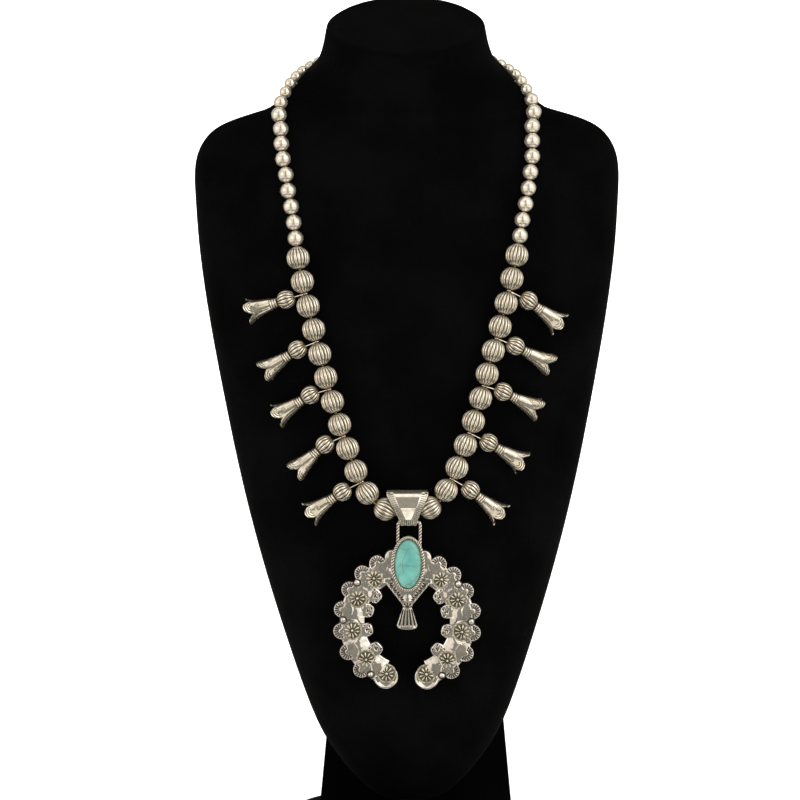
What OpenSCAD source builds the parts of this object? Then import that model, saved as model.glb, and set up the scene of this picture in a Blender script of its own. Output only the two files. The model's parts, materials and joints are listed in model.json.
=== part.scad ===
// Squash blossom necklace on a velvet neck form.
// Millimetres, +Z up, front faces -Y, origin at the centre of the foot's underside.

/* [Neck form] */
// Flat back of the form, measured behind the centre of the foot
form_back = 8; // [6:1:12]
// Points round each section of the form
form_sides = 32; // [24:4:40]
// Rounding of the neck's upper rim
rim_r = 2.5; // [1.5:0.5:3]
// Degrees that the form leans, with its tip to the right and its right shoulder up
form_lean = 0.4; // [0:0.1:0.4]

/* [Foot] */
// Diameter of the round base plate
base_d = 124; // [118:2:140]
// Thickness of the base plate
base_t = 7; // [5:1:8]
// Radius of the column at the floor
column_r = 50; // [44:1:50]
// Radius of the column at its top
column_top_r = 31.3; // [24:0.1:36]
// Height of the column
column_h = 200; // [160:5:220]
// How far the column stands to the right of the middle
column_shift = 4.5; // [0:0.5:4.5]

/* [Thread] */
// Diameter of the thread that carries the beads
thread_d = 1; // [0.8:0.1:1]
// Clearance that pieces keep from the form
rest_gap = 0.35; // [0.3:0.05:0.5]

/* [Fluted beads] */
// Diameter of a fluted bead over its ridges
fluted_d = 12.1; // [11.6:0.1:12.1]
// Length of a fluted bead along the thread
fluted_len = 11.56; // [11.2:0.02:11.56]
// Flutes round a bead
flutes = 16; // [12:1:16]
// Depth of a flute at the middle of the bead
flute_depth = 0.55; // [0.3:0.05:0.7]
// Diameter of the hole through a fluted bead
fluted_bore = 2; // [1.8:0.1:2.2]

/* [Smooth beads] */
// Diameters of the smooth beads, largest, middle and smallest
smooth_ds = [7.75, 6.9, 6]; // [5:0.05:7.75]
// Beads of the largest size on each side
smooth_large = 9; // [7:1:9]
// Beads of the smallest size on each side
smooth_small = 12; // [12:1:12]
// Diameter of the hole through a smooth bead
smooth_bore = 1.7; // [1.6:0.1:1.8]
// Clearance between neighbouring beads
bead_gap = 0.18; // [0.14:0.02:0.2]

/* [Blossoms] */
// Diameter of a blossom's fluted ball
ball_d = 9.4; // [9:0.1:9.5]
// Flutes round a blossom's ball
ball_flutes = 14; // [10:1:14]
// Centre of the ball to the tips of the petals
blossom_len = 20.6; // [19:0.2:21]
// Diameter across two opposite petal tips
mouth_d = 12; // [10:0.2:12.4]
// Thickness of the petals
petal_t = 0.75; // [0.6:0.05:0.9]
// Thickness of the wire eye that the thread goes through
eye_wire = 0.62; // [0.5:0.02:0.64]

/* [Bail] */
// Width of the bail over its fold
bail_w = 20.4; // [19:0.2:21]
// Width of the bail at its lower curl
bail_low_w = 7.8; // [7.4:0.1:7.8]
// Thickness of the bail's strap
bail_t = 0.9; // [0.8:0.05:1]
// Inner radius of the fold over the beads
fold_r = 5.7; // [5.6:0.05:5.7]

/* [Naja] */
// Radius of the ring that the rosettes sit on
rosette_ring_r = 27.2; // [26.8:0.1:27.6]
// Inner radius of the crescent
naja_in_r = 20.8; // [20.4:0.1:21.2]
// Outer radius of the crescent without its scallops
naja_out_r = 33.2; // [32.8:0.1:33.6]
// Thickness of the crescent's plate
naja_t = 2; // [1.8:0.1:2.4]
// Radius of a rosette
rosette_r = 4.7; // [4.2:0.1:5]
// Radius of a scallop on the outer edge
scallop_r = 4.1; // [3.8:0.1:4.3]
// Thickness of the twisted wire loop
loop_wire = 1.7; // [1.5:0.1:1.8]

// How far the bail's lower end and its loop sit to the right of the middle
pendant_shift = 0.6; // [0:0.1:0.6]
// Degrees that the pendant hangs off level
pendant_lean = 0.8; // [0:0.1:0.8]

/* [Stone] */
// Width of the oval turquoise
stone_w = 12.5; // [11.5:0.1:12.8]
// Height of the oval turquoise
stone_h = 24; // [23:0.1:24.4]

/* [Hidden] */
sides = ["left", "right"];
bead_count = 12;
blossom_count = 5;
velvet = [0.08, 0.08, 0.09];
silver = [0.78, 0.75, 0.68];
stone_blue = [0.27, 0.72, 0.69];

// Sections of the form from its tip to the top of the neck.
// Columns: z, half width, front y, y of the widest line, front fullness, back fullness, tilt.
// A fullness of 2 is an ellipse, less is more pointed and more is boxier.
form = [
    [15,     4, -12,  -6, 2.0, 3, 0],
    [17,    12, -17,  -6, 2.0, 3, 0],
    [20,    19, -22,  -6, 2.0, 3, 0],
    [28,    28, -29,  -7, 2.0, 4, 0],
    [40,  37.5, -37,  -7, 2.1, 4, 0],
    [54,    46, -44,  -7, 2.2, 4, 0],
    [74,    54, -49,  -7, 2.3, 4, 0],
    [98,    62, -51,  -7, 2.3, 4, 0],
    [124,   70, -52,  -7, 2.3, 4, 0],
    [155, 78.5, -52,  -7, 2.3, 4, 0],
    [190, 86.6, -51,  -7, 2.3, 4, 0],
    [226, 93.6, -50,  -7, 2.3, 4, 0],
    [260, 99.6, -49,  -7, 2.3, 4, 0],
    [295, 104.6, -47, -7, 2.3, 4, 0],
    [320, 106.2, -45, -7, 2.4, 4, 0],
    [334, 106.5, -44, -8, 2.3, 4, 0],
    [344, 105, -43,  -10, 2.1, 3.8, 0],
    [351, 101.5, -42, -13, 1.8, 3.4, 0],
    [356,  97, -41,  -16, 1.6, 3, 0],
    [360, 90.4, -41, -18, 1.4, 3, 0],
    [364, 78.7, -41, -20, 1.4, 2.7, 0],
    [368,  66, -40,  -21, 1.4, 2.5, 0],
    [376,  56, -41,  -21, 1.7, 2.2, 4],
    [386,  47, -43,  -20, 1.9, 2, 10],
    [395,  42, -46,  -20, 2.0, 2, 17],
    [405, 39.8, -48, -20, 2.0, 2, 29]
];
function form_column(k) = [for (row = form) [row[0], row[k]]];
widths = form_column(1);
fronts = form_column(2);
middles = form_column(3);
front_fulls = form_column(4);
back_fulls = form_column(5);
tilts = form_column(6);

lean_z = 300;
function leaned(p) = let (k = tan(form_lean)) [p[0] - k * (p[2] - lean_z), p[1], p[2] + k * p[0]];
// The point of the form's skin at height z and angle a, which is 0 at the front and 180 at the back.
function skin_at(w, front, mid, full, back_full, tilt, z, a) =
    let (
        s = sin(a), c = cos(a),
        power = 2 / (c > 0 ? full : back_full),
        flat = back_full > 2.5 ? 1.07 : 1,
        reach = pow(abs(c), power),
        y = c > 0 ? mid - (mid - front) * reach
                  : min(form_back, mid + (form_back - mid) * flat * reach)
    )
    leaned([w * sign(s) * pow(abs(s), power), y, z + tan(tilt) * (y - mid)]);
function skin(z, a) =
    skin_at(lookup(z, widths), lookup(z, fronts), lookup(z, middles), lookup(z, front_fulls),
            lookup(z, back_fulls), lookup(z, tilts), z, a);
function unit(v) = v / norm(v);
// Outward direction of the skin, measured over a few millimetres so that it turns smoothly
function outward(z, a) =
    unit(cross(skin(z, a + 4) - skin(z, a - 4), skin(z + 5, a) - skin(z - 5, a)));
// The point that lies the distance lift in front of the skin
function lifted(z, a, lift) = skin(z, a) + lift * outward(z, a);
function front_angle(x, z) =
    sign(x) * asin(pow(min(0.97, abs(x) / lookup(z, widths)), lookup(z, front_fulls) / 2));
// Height and angle of the skin point whose lifted point shows at x and z from the front
function under(x, z, lift, try_x, try_z, turns = 6) =
    let (a = front_angle(try_x, try_z), p = lifted(try_z, a, lift))
    turns == 0 ? [try_z, a]
               : under(x, z, lift, try_x + x - p[0], try_z + z - p[2], turns - 1);
function over(x, z, lift) = let (u = under(x, z, lift, x, z)) lifted(u[0], u[1], lift);

// The route of the string up each side, as seen from the front. Columns: x, z, lift over the form.
fluted_lift = fluted_d / 2 + rest_gap;
smooth_lift = smooth_ds[0] / 2 + rest_gap;
front_route = [
    [[5.6, 167.6, fluted_lift], [16.2, 173.5, fluted_lift], [22.7, 182.7, fluted_lift],
     [31, 205.4, fluted_lift], [38.4, 229, fluted_lift], [42.9, 247, fluted_lift],
     [46, 258.5, fluted_lift], [48.5, 270, fluted_lift], [51.5, 282, fluted_lift],
     [53.5, 293, fluted_lift], [54.7, 302, smooth_lift], [57, 318, smooth_lift],
     [60.1, 338, smooth_lift]],
    [[6, 168, fluted_lift], [15.8, 174.2, fluted_lift], [21.5, 184, fluted_lift],
     [30, 206.4, fluted_lift], [37.3, 229.8, fluted_lift], [41.9, 248.3, fluted_lift],
     [45.7, 259.8, fluted_lift], [48, 271, fluted_lift], [51.2, 282.5, fluted_lift],
     [53.3, 293.5, fluted_lift], [55, 303, smooth_lift], [57.8, 318.5, smooth_lift],
     [60.7, 338, smooth_lift]]
];
// The rest of the route, over the shoulder and round the neck. Columns: height, angle round the form.
back_route = [[348.3, 37.1], [355.3, 43], [362, 53.5], [368.2, 68.4], [373.9, 80], [378.5, 91],
              [383, 105], [386.8, 122], [389.5, 141], [391, 160], [391, 180], [391, 202]];
routes = [for (i = [0, 1]) let (s = i == 0 ? -1 : 1) concat(
    [for (r = front_route[i]) under(s * r[0], r[1], r[2], s * r[0], r[1])],
    [for (r = back_route) [r[0], s * r[1]]]
)];

// A smooth curve through the rows of a route
function curve(rows, t) =
    let (
        last = len(rows) - 1,
        i = max(0, min(last - 1, floor(t))),
        f = t - i,
        p1 = rows[i], p2 = rows[i + 1],
        p0 = i > 0 ? rows[i - 1] : 2 * p1 - p2,
        p3 = i + 2 <= last ? rows[i + 2] : 2 * p2 - p1
    )
    p1 + f / 2 * ((p2 - p0) + f * ((2 * p0 - 5 * p1 + 4 * p2 - p3) + f * (3 * p1 - p0 - 3 * p2 + p3)));

// The links of one side from the bail to the nape. Columns: kind, length along the thread, lift.
fluted_link = ["fluted", fluted_len + bead_gap, fluted_lift];
eye_link = ["eye", 0.6, fluted_lift];
// Bare thread where the string bends sharply, at the bail and on the ridge of the shoulder
function turn_link(lift) = ["turn", 0.3, lift];
function smooth_link(d) = ["smooth", d + bead_gap, d / 2 + rest_gap];
links = concat(
    [fluted_link, turn_link(fluted_lift)],
    [for (k = [1:blossom_count], part = [0:2]) part == 1 ? eye_link : fluted_link],
    [fluted_link],
    [for (k = [1:smooth_large]) smooth_link(smooth_ds[0])],
    [turn_link(smooth_lift), smooth_link(smooth_ds[1])],
    [for (k = [1:smooth_small]) smooth_link(smooth_ds[2])]
);
function route_point(rows, t, lift) = let (c = curve(rows, t)) lifted(c[0], c[1], lift);
function route_normal(rows, t) = let (c = curve(rows, t)) outward(c[0], c[1]);
// The place on the route at the distance want from a point, found by halving
function step_along(rows, from, want, lift, low, high, turns = 16) =
    let (t = (low + high) / 2, short = norm(route_point(rows, t, lift) - from) < want)
    turns == 0 ? t : step_along(rows, from, want, lift, short ? t : low, short ? high : t, turns - 1);
// Places of the joints between links, each with the outward direction there
function joints(rows, k = 0, t = 0, found = []) =
    let (
        lift = k == 0 ? links[0][2]
             : k == len(links) ? links[k - 1][2] : (links[k - 1][2] + links[k][2]) / 2,
        t_now = k == 0 ? 0
              : step_along(rows, found[k - 1][0], links[k - 1][1], lift, t, t + 1.7),
        grown = concat(found, [[route_point(rows, t_now, lift), route_normal(rows, t_now)]])
    )
    k == len(links) ? grown : joints(rows, k + 1, t_now, grown);
string_joints = [for (rows = routes) joints(rows)];
function side_joints(side) = string_joints[side == "left" ? 0 : 1];
function link_rows(kind) = [for (k = [0:len(links) - 1]) if (links[k][0] == kind) k];
fluted_rows = link_rows("fluted");
eye_rows = link_rows("eye");
smooth_rows = link_rows("smooth");

// Turns the Z axis to direction v
module along(v) {
    rotate([0, acos(v[2] / norm(v)), atan2(v[1], v[0])]) children();
}
module at_link(side, k) {
    j = side_joints(side);
    translate((j[k][0] + j[k + 1][0]) / 2) along(j[k + 1][0] - j[k][0]) children();
}

// A skin of quads over equal rings of points. The rings close on themselves, and the stack closes
// either on itself, as round a bored bead, or with a face at each end.
module rings_solid(rings, looped = false) {
    n = len(rings[0]);
    m = len(rings);
    bands = looped ? m : m - 1;
    sides_faces = [for (r = [0:bands - 1], i = [0:n - 1], h = [0, 1])
        let (a = r * n + i, b = r * n + (i + 1) % n, c = ((r + 1) % m) * n + i, d = ((r + 1) % m) * n + (i + 1) % n)
        h == 0 ? [a, c, b] : [b, c, d]];
    ends = looped ? [] : [[for (i = [0:n - 1]) i], [for (i = [n - 1:-1:0]) (m - 1) * n + i]];
    polyhedron(points = [for (ring = rings) each ring], faces = concat(sides_faces, ends));
}

function form_ring(row, inset = 0, rise = 0) =
    [for (i = [0:form_sides - 1])
        skin_at(row[1] - inset, row[2] + inset, row[3], row[4], row[5], row[6],
                row[0] + rise, i * 360 / form_sides) - [0, inset * max(0, -cos(i * 360 / form_sides)), 0]];
module neck_bust() {
    top = form[len(form) - 1];
    color(velvet) rings_solid(concat(
        [for (row = form) form_ring(row)],
        [for (a = [45, 90]) form_ring(top, rim_r * (1 - cos(a)), rim_r * sin(a))]
    ));
}

column_in = 2.5;
module bust_foot() {
    color(velvet) {
        rotate_extrude($fn = 96)
            polygon([[0, 0], [base_d / 2, 0], [base_d / 2, base_t - 1.5], [base_d / 2 - 1.5, base_t],
                     [0, base_t]]);
        intersection() {
            translate([column_shift, base_d / 2 - column_r - column_in, base_t / 2])
                cylinder(h = column_h, r1 = column_r, r2 = column_top_r, $fn = 96);
            translate([-base_d, form_back + 0.3, 0]) cube([2 * base_d, base_d, 2 * column_h]);
        }
    }
}

// The thread is a tube with six sides that bends only between beads
function thread_ring(j, before, after) =
    let (
        t = unit(after - before),
        u = unit(j[1] - (j[1] * t) * t),
        v = cross(t, u)
    )
    [for (i = [0:5]) j[0] + thread_d / 2 * (cos(i * 60) * u + sin(i * 60) * v)];
module thread() {
    l = string_joints[0];
    r = string_joints[1];
    n = len(l) - 1;
    path = concat([for (k = [n:-1:0]) l[k]], [for (k = [0:n]) r[k]]);
    last = len(path) - 1;
    color(silver) rings_solid([for (k = [0:last])
        thread_ring(path[k], path[max(0, k - 1)][0], path[min(last, k + 1)][0])]);
}

// The plain clasp closes the string at the nape
module clasp() {
    l = string_joints[0][len(links)][0];
    r = string_joints[1][len(links)][0];
    gap = 0.3;
    span = norm(r - l) - 2 * gap;
    color(silver) translate((l + r) / 2) along(r - l) rotate_extrude($fn = 48)
        polygon([[0, -span / 2], [1.2, -span / 2], [2, -span / 2 + 1], [2, span / 2 - 1],
                 [1.2, span / 2], [0, span / 2]]);
}

module smooth_bead(d) {
    difference() {
        sphere(d = d, $fn = 64);
        cylinder(d = smooth_bore, h = 2 * d, center = true, $fn = 32);
    }
}
module smooth_beads(side) {
    color(silver) for (k = smooth_rows) at_link(side, k) smooth_bead(links[k][1] - bead_gap);
}

// One ring of a fluted ball at a polar angle, with ridges and flutes in turn
function flute_ring(r, half_len, count, depth, polar) =
    [for (i = [0:2 * count - 1])
        let (a = i * 180 / count, rho = (r - (i % 2) * depth * sin(polar)) * sin(polar))
        [rho * cos(a), rho * sin(a), half_len * cos(polar)]];
module fluted_bead(side, i) {
    r = fluted_d / 2;
    rim = asin(fluted_bore / 2 / r);
    color(silver) at_link(side, fluted_rows[bead_count - i]) rotate(i * 7) rings_solid(
        [for (polar = [180 - rim, 142, 108, 72, 38, rim])
            flute_ring(r, fluted_len / 2, flutes, abs(polar - 90) < 60 ? flute_depth : 0, polar)],
        looped = true);
}

// How each blossom hangs, from the top one down. Columns: droop below level, turn about its own axis,
// angle at which its ball has slipped down over the next bead.
blossom_rows = [
    [[18, 20, 2], [34, 45, 6], [33, 15, 0], [43, 40, 4], [35, 5, 3]],
    [[37, 10, 10], [29, 50, 2], [28, 55, 1], [32, 20, 8], [40, 0, 7]]
];
// Outline of the flower from its collar to the petal tips. Columns: distance from the ball, radius.
flower = [
    [-0.6, 1.9], [0.3, 1.9], [0.3, 2.5], [0.9, 2.5], [1, 2.2], [1.3, 2.2], [1.4, 2.5], [2, 2.5],
    [2.1, 2.2], [4.5, 2.4], [8, 3], [11, 3.7], [13.4, 4.5], [14.8, 5.2], [15.9, 6]
];
module flower_body() {
    n = len(flower) - 1;
    k = (mouth_d / 2) / flower[n][1];
    reach = (blossom_len - ball_d / 2) / flower[n][0];
    outer = [for (p = flower) [p[1] * (p[0] > 3 ? 1 + (k - 1) * p[0] / flower[n][0] : 1), p[0] * reach]];
    hollow_from = 9;
    inner = [for (i = [n:-1:hollow_from]) outer[i] + petal_t * (i > n - 2 ? [-0.5, 0.8] : [-1, 0.1])];
    difference() {
        rotate_extrude($fn = 72) polygon(concat([[0, outer[0][1]]], outer, inner, [[0, outer[hollow_from][1] + 1]]));
        for (a = [45:90:315]) rotate(a) rotate([90, 0, 90])
            linear_extrude(mouth_d) polygon([[-0.15, 8.2], [0.15, 8.2], [1.5, 14], [3.4, 18], [-3.4, 18], [-1.5, 14]]);
    }
}
module blossom(side, i) {
    s = side == "left" ? -1 : 1;
    k = eye_rows[blossom_count - i];
    j = side_joints(side);
    hole = (j[k][0] + j[k + 1][0]) / 2;
    run = unit(j[k + 1][0] - j[k][0]);
    row = blossom_rows[side == "left" ? 0 : 1][i - 1];
    level = atan2(s * run[0], run[2]) + row[2];
    half = fluted_len / 2 + eye_link[1] / 2;
    clear = fluted_d / 2 + ball_d / 2 + 0.15;
    nest = half * sin(row[2]) + sqrt(clear * clear - pow(half * cos(row[2]), 2));
    at_x = hole[0] + s * nest * cos(level);
    at_z = hole[2] - nest * sin(level);
    ball = over(at_x, at_z, ball_d / 2 + rest_gap);
    tips = over(at_x + s * blossom_len * cos(row[0]), at_z - blossom_len * sin(row[0]), mouth_d / 2 + rest_gap);
    axis = unit(tips - ball);
    to_ball = ball - hole;
    eye_r = thread_d / 2 + 0.26 + eye_wire / 2;
    color(silver) {
        translate(ball) along(axis) rotate(row[1]) {
            rings_solid([for (polar = [168, 142, 108, 72, 38, 12])
                flute_ring(ball_d / 2, ball_d / 2, ball_flutes, flute_depth * 0.8, polar)]);
            translate([0, 0, ball_d / 2]) flower_body();
        }
        translate(hole) along(run) rotate_extrude($fn = 36) translate([eye_r, 0]) circle(d = eye_wire, $fn = 24);
        translate(hole + eye_r * unit(to_ball)) along(to_ball)
            cylinder(d = eye_wire, h = norm(to_ball) - eye_r - ball_d / 2 + 1, $fn = 24);
    }
}

// Places of the pendant. The hinge is the crossbar of the wire loop.
string_y = over(5.6, 167.7, fluted_lift)[1];
fold_y = string_y - 0.35;
fold_z = 173.3;
hinge_y = fold_y - 1.65;
hinge_z = 164.4;
curl_r = loop_wire / 2 + 0.3;

// Outline of a strap bent round two centres, as straight runs tangent to two arcs
function strap(r_top, r_low) =
    let (
        top = [fold_y, fold_z],
        low = [hinge_y, hinge_z],
        lean = atan2(fold_z - hinge_z, fold_y - hinge_y),
        half = acos((r_low - r_top) / norm(top - low))
    )
    concat(
        [for (i = [-12:12]) let (a = lean + half * i / 12) top + r_top * [cos(a), sin(a)]],
        [for (i = [-6:6]) let (a = lean + 180 + (180 - half) * i / 6) low + r_low * [cos(a), sin(a)]]
    );
module bail() {
    top_z = fold_z + fold_r + bail_t;
    low_z = hinge_z - curl_r - bail_t;
    low = pendant_shift;
    color(silver) intersection() {
        rotate([90, 0, 90]) linear_extrude(bail_w, center = true) difference() {
            polygon(strap(fold_r + bail_t, curl_r + bail_t));
            polygon(strap(fold_r, curl_r));
        }
        rotate([90, 0, 0]) linear_extrude(200, center = true)
            polygon([[low - bail_low_w / 2, low_z - 1], [low + bail_low_w / 2, low_z - 1],
                     [low + bail_low_w / 2, low_z + 2.2], [bail_w / 2, top_z - 1.6],
                     [bail_w / 2 - 0.8, top_z + 1], [0.8 - bail_w / 2, top_z + 1],
                     [-bail_w / 2, top_z - 1.6], [low - bail_low_w / 2, low_z + 2.2]]);
    }
}

// The naja is drawn from the front about the centre of its crescent and then stood up
naja_z = 115;
plate_back = 1.5;
stone_z = 144.2 - naja_z;
bezel_w = 1.9;
module stood_up() {
    translate([pendant_shift, hinge_y + plate_back, hinge_z]) rotate([0, pendant_lean, 0])
        rotate([90, 0, 0]) translate([0, naja_z - hinge_z, 0]) children();
}
rosette_angles = [21, 47, 81, 115.5, 142.5];
scallop_angles = [43, 62.5, 81.5, 100.5, 119, 137, 152.5];
lobe_angles = [48.5, 78.5, 105.7, 128.5];
stud_angles = [34, 91.5, 128];
// Repeats its children on both sides of the crescent, at a radius and the angles up from the bottom
module round_naja(r, angles) {
    for (a = angles, s = [-1, 1]) translate([s * r * sin(a), -r * cos(a), 0]) rotate(s * a) children();
}
function oval(w, h, n = 48) = [for (i = [0:n - 1]) [w / 2 * cos(i * 360 / n), h / 2 * sin(i * 360 / n)]];
module crescent_outline() {
    difference() {
        circle(r = naja_out_r, $fn = 96);
        circle(r = naja_in_r, $fn = 96);
        polygon([[0, 0], [-50 * sin(21), -50 * cos(21)], [50 * sin(21), -50 * cos(21)]]);
    }
    round_naja(28.9, [20.4]) circle(r = 6, $fn = 64);
    round_naja(32.5, scallop_angles) circle(r = scallop_r, $fn = 48);
    round_naja(19.9, lobe_angles) circle(r = 2.9, $fn = 48);
}
module rosette() {
    petals = 10;
    linear_extrude(naja_t + 0.9) {
        circle(r = rosette_r * 0.8, $fn = 48);
        for (i = [0:petals - 1]) rotate(i * 360 / petals) translate([rosette_r * 0.74, 0])
            circle(r = rosette_r * 0.25, $fn = 32);
    }
    translate([0, 0, naja_t + 0.6]) sphere(r = 1.4, $fn = 32);
}
module wire_loop() {
    half = 5.6;
    r = loop_wire / 2;
    z = hinge_z - naja_z;
    translate([0, z, plate_back]) {
        rotate([0, 90, 0]) cylinder(r = r, h = 2 * half, center = true, $fn = 32);
        for (s = [-1, 1]) translate([s * half, 0, 0]) {
            sphere(r = r, $fn = 32);
            rotate([90, 0, 0]) cylinder(r = r, h = 13.5, $fn = 32);
        }
    }
}
module naja() {
    seat_t = naja_t + 0.6;
    color(silver) stood_up() {
        linear_extrude(naja_t) crescent_outline();
        round_naja(rosette_ring_r, rosette_angles) rosette();
        round_naja(32.5, scallop_angles) cylinder(r = scallop_r - 0.6, h = naja_t + 0.5, $fn = 48);
        round_naja(19.9, lobe_angles) cylinder(r = 2.3, h = naja_t + 0.4, $fn = 48);
        round_naja(31.4, stud_angles) translate([0, 0, naja_t]) sphere(r = 1.3, $fn = 32);
        round_naja(33.4, [166]) translate([0, 0, naja_t - 1.2]) sphere(r = 3.4, $fn = 48);
        difference() {
            union() {
                translate([0, stone_z, 0.3]) linear_extrude(naja_t + 0.9)
                    polygon(oval(stone_w + 2 * bezel_w, stone_h + 2 * bezel_w));
                translate([0, stone_z, 0.3]) linear_extrude(naja_t + 2)
                    polygon(oval(stone_w + bezel_w, stone_h + bezel_w));
            }
            translate([0, stone_z, seat_t]) linear_extrude(20)
                polygon(oval(stone_w + 0.3, stone_h + 0.3));
        }
        linear_extrude(naja_t + 0.2)
            polygon([[-12.5, 22], [12.5, 22], [9.8, 17.6], [2.6, 8.6], [-2.6, 8.6], [-9.8, 17.6]]);
        translate([0, 10.6, naja_t - 0.4]) sphere(r = 2, $fn = 48);
        linear_extrude(naja_t + 0.7)
            polygon([[-2.1, 10], [2.1, 10], [2.3, 7.4], [5.2, -1.4], [4.4, -3], [0, -3.6], [-4.4, -3],
                     [-5.2, -1.4], [-2.3, 7.4]]);
        wire_loop();
    }
}
module turquoise() {
    dome = 2.2;
    wall = 2;
    base = naja_t + 0.6 + 0.12;
    color(stone_blue) stood_up() translate([0, stone_z, base]) rings_solid(concat(
        [[for (p = oval(stone_w, stone_h, 32)) [p[0], p[1], 0]]],
        [for (a = [0, 24, 48, 70])
            [for (p = oval(stone_w * cos(a), stone_h * cos(a), 32)) [p[0], p[1], wall + dome * sin(a)]]]
    ));
}

neck_bust();
bust_foot();
thread();
clasp();
bail();
naja();
turquoise();
for (s = sides) smooth_beads(s);
for (s = sides, i = [1:bead_count])
    fluted_bead(s, i);
for (s = sides, i = [1:blossom_count])
    blossom(s, i);
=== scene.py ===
"""Looks of a squash blossom necklace on its velvet neck bust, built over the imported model.

Sizes in the classes are millimetres. A piece is shaped in its own frame, turned to its place on
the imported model, and turned into metres when it becomes an object.
"""

from __future__ import annotations

import json
import logging
import math
from dataclasses import dataclass, field
from enum import Enum
from typing import Callable, Sequence, TypeVar

import bmesh
import bpy
import numpy as np
from mathutils import Matrix, Vector, noise

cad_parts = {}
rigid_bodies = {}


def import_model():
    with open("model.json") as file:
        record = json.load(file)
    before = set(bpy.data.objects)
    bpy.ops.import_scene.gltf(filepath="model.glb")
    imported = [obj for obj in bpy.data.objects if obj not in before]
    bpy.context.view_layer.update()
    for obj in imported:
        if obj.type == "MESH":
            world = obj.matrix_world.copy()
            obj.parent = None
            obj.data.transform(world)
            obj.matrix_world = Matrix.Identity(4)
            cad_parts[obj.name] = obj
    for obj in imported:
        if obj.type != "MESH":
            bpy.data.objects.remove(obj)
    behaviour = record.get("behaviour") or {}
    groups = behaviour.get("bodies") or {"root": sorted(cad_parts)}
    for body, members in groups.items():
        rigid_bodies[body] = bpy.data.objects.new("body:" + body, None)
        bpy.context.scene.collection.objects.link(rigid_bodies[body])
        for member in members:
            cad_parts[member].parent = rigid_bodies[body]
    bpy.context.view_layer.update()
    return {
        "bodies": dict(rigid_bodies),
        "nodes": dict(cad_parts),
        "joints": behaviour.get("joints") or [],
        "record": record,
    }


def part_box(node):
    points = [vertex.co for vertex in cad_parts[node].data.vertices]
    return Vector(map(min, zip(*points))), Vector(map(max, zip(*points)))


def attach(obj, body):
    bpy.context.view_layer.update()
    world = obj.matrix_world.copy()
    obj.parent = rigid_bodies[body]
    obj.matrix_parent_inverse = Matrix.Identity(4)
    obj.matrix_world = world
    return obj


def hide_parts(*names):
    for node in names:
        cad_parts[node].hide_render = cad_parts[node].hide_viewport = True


LOG = logging.getLogger("necklace")
MM = 0.001
RECESS = "recess"
SIDES = ("left", "right")
MERGE = 1e-3
FLUTE_POWER = 0.85
Outline = Sequence[tuple[float, float]]
Place = TypeVar("Place", float, Vector)


def lerp(a: Place, b: Place, t: float) -> Place:
    """Returns the value or point a share t of the way from a to b."""
    return a + (b - a) * t


def smoothstep(low: float, high: float, x: float) -> float:
    """Returns 0 below low and 1 above high, with a smooth rise between them."""
    t = min(1.0, max(0.0, (x - low) / (high - low)))
    return t * t * (3 - 2 * t)


def soft_max(a: float, b: float, blend: float = 0.45) -> float:
    """Returns the greater of two heights, with a fillet where they are close."""
    near = max(0.0, 1 - abs(a - b) / blend)
    return max(a, b) + near * near * blend / 4


def along_table(table: Outline, x: float) -> float:
    """Reads a table of (position, value) rows at x, with straight lines between its rows.

    Args:
        table: The rows, in rising order of position.
        x: The position to read.

    Returns:
        The value at x, held at the ends.
    """
    return float(np.interp(x, [row[0] for row in table], [row[1] for row in table]))


def arch(x: float) -> float:
    """Returns the height of a round arch of radius 1 at a distance from its middle."""
    return math.sqrt(max(0.0, 1 - x * x))


def polar_of(point: Vector) -> tuple[float, float]:
    """Returns a point's distance from the Z axis and its angle round it."""
    return math.hypot(point.x, point.y), math.atan2(point.y, point.x)


def flute(turn: float, count: int) -> float:
    """Returns how deep count flutes are at an angle, from 0 on a ridge to 1 in a groove."""
    return 1 - abs(math.cos(count * turn / 2)) ** FLUTE_POWER


def long_axis(points: np.ndarray) -> np.ndarray:
    """Returns the direction in which points spread furthest."""
    return np.linalg.eigh(np.cov((points - points.mean(axis=0)).T))[1][:, 2]


def baked(bm: bmesh.types.BMesh, name: str) -> bpy.types.Mesh:
    """Writes a bmesh to a new mesh of that name and frees it."""
    mesh = bpy.data.meshes.new(name)
    bm.to_mesh(mesh)
    bm.free()
    return mesh


def opened(mesh: bpy.types.Mesh) -> bmesh.types.BMesh:
    """Returns a new bmesh with a mesh's shape."""
    bm = bmesh.new()
    bm.from_mesh(mesh)
    return bm


def frame_at(place: Vector, axis: Vector, hint: Vector = Vector((0, 0, 1))) -> Matrix:
    """Builds the placement whose Z runs along an axis.

    Args:
        place: Where the origin goes.
        axis: The direction of the placement's Z.
        hint: A direction that the placement's X leans towards.

    Returns:
        The placement as a matrix.
    """
    z = axis.normalized()
    x = hint - hint.dot(z) * z
    if x.length < 1e-6:
        x = Vector((1, 0, 0)) - z[0] * z
    x.normalize()
    y = z.cross(x)
    turn = Matrix((x, y, z)).transposed().to_4x4()
    return Matrix.Translation(place) @ turn


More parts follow.
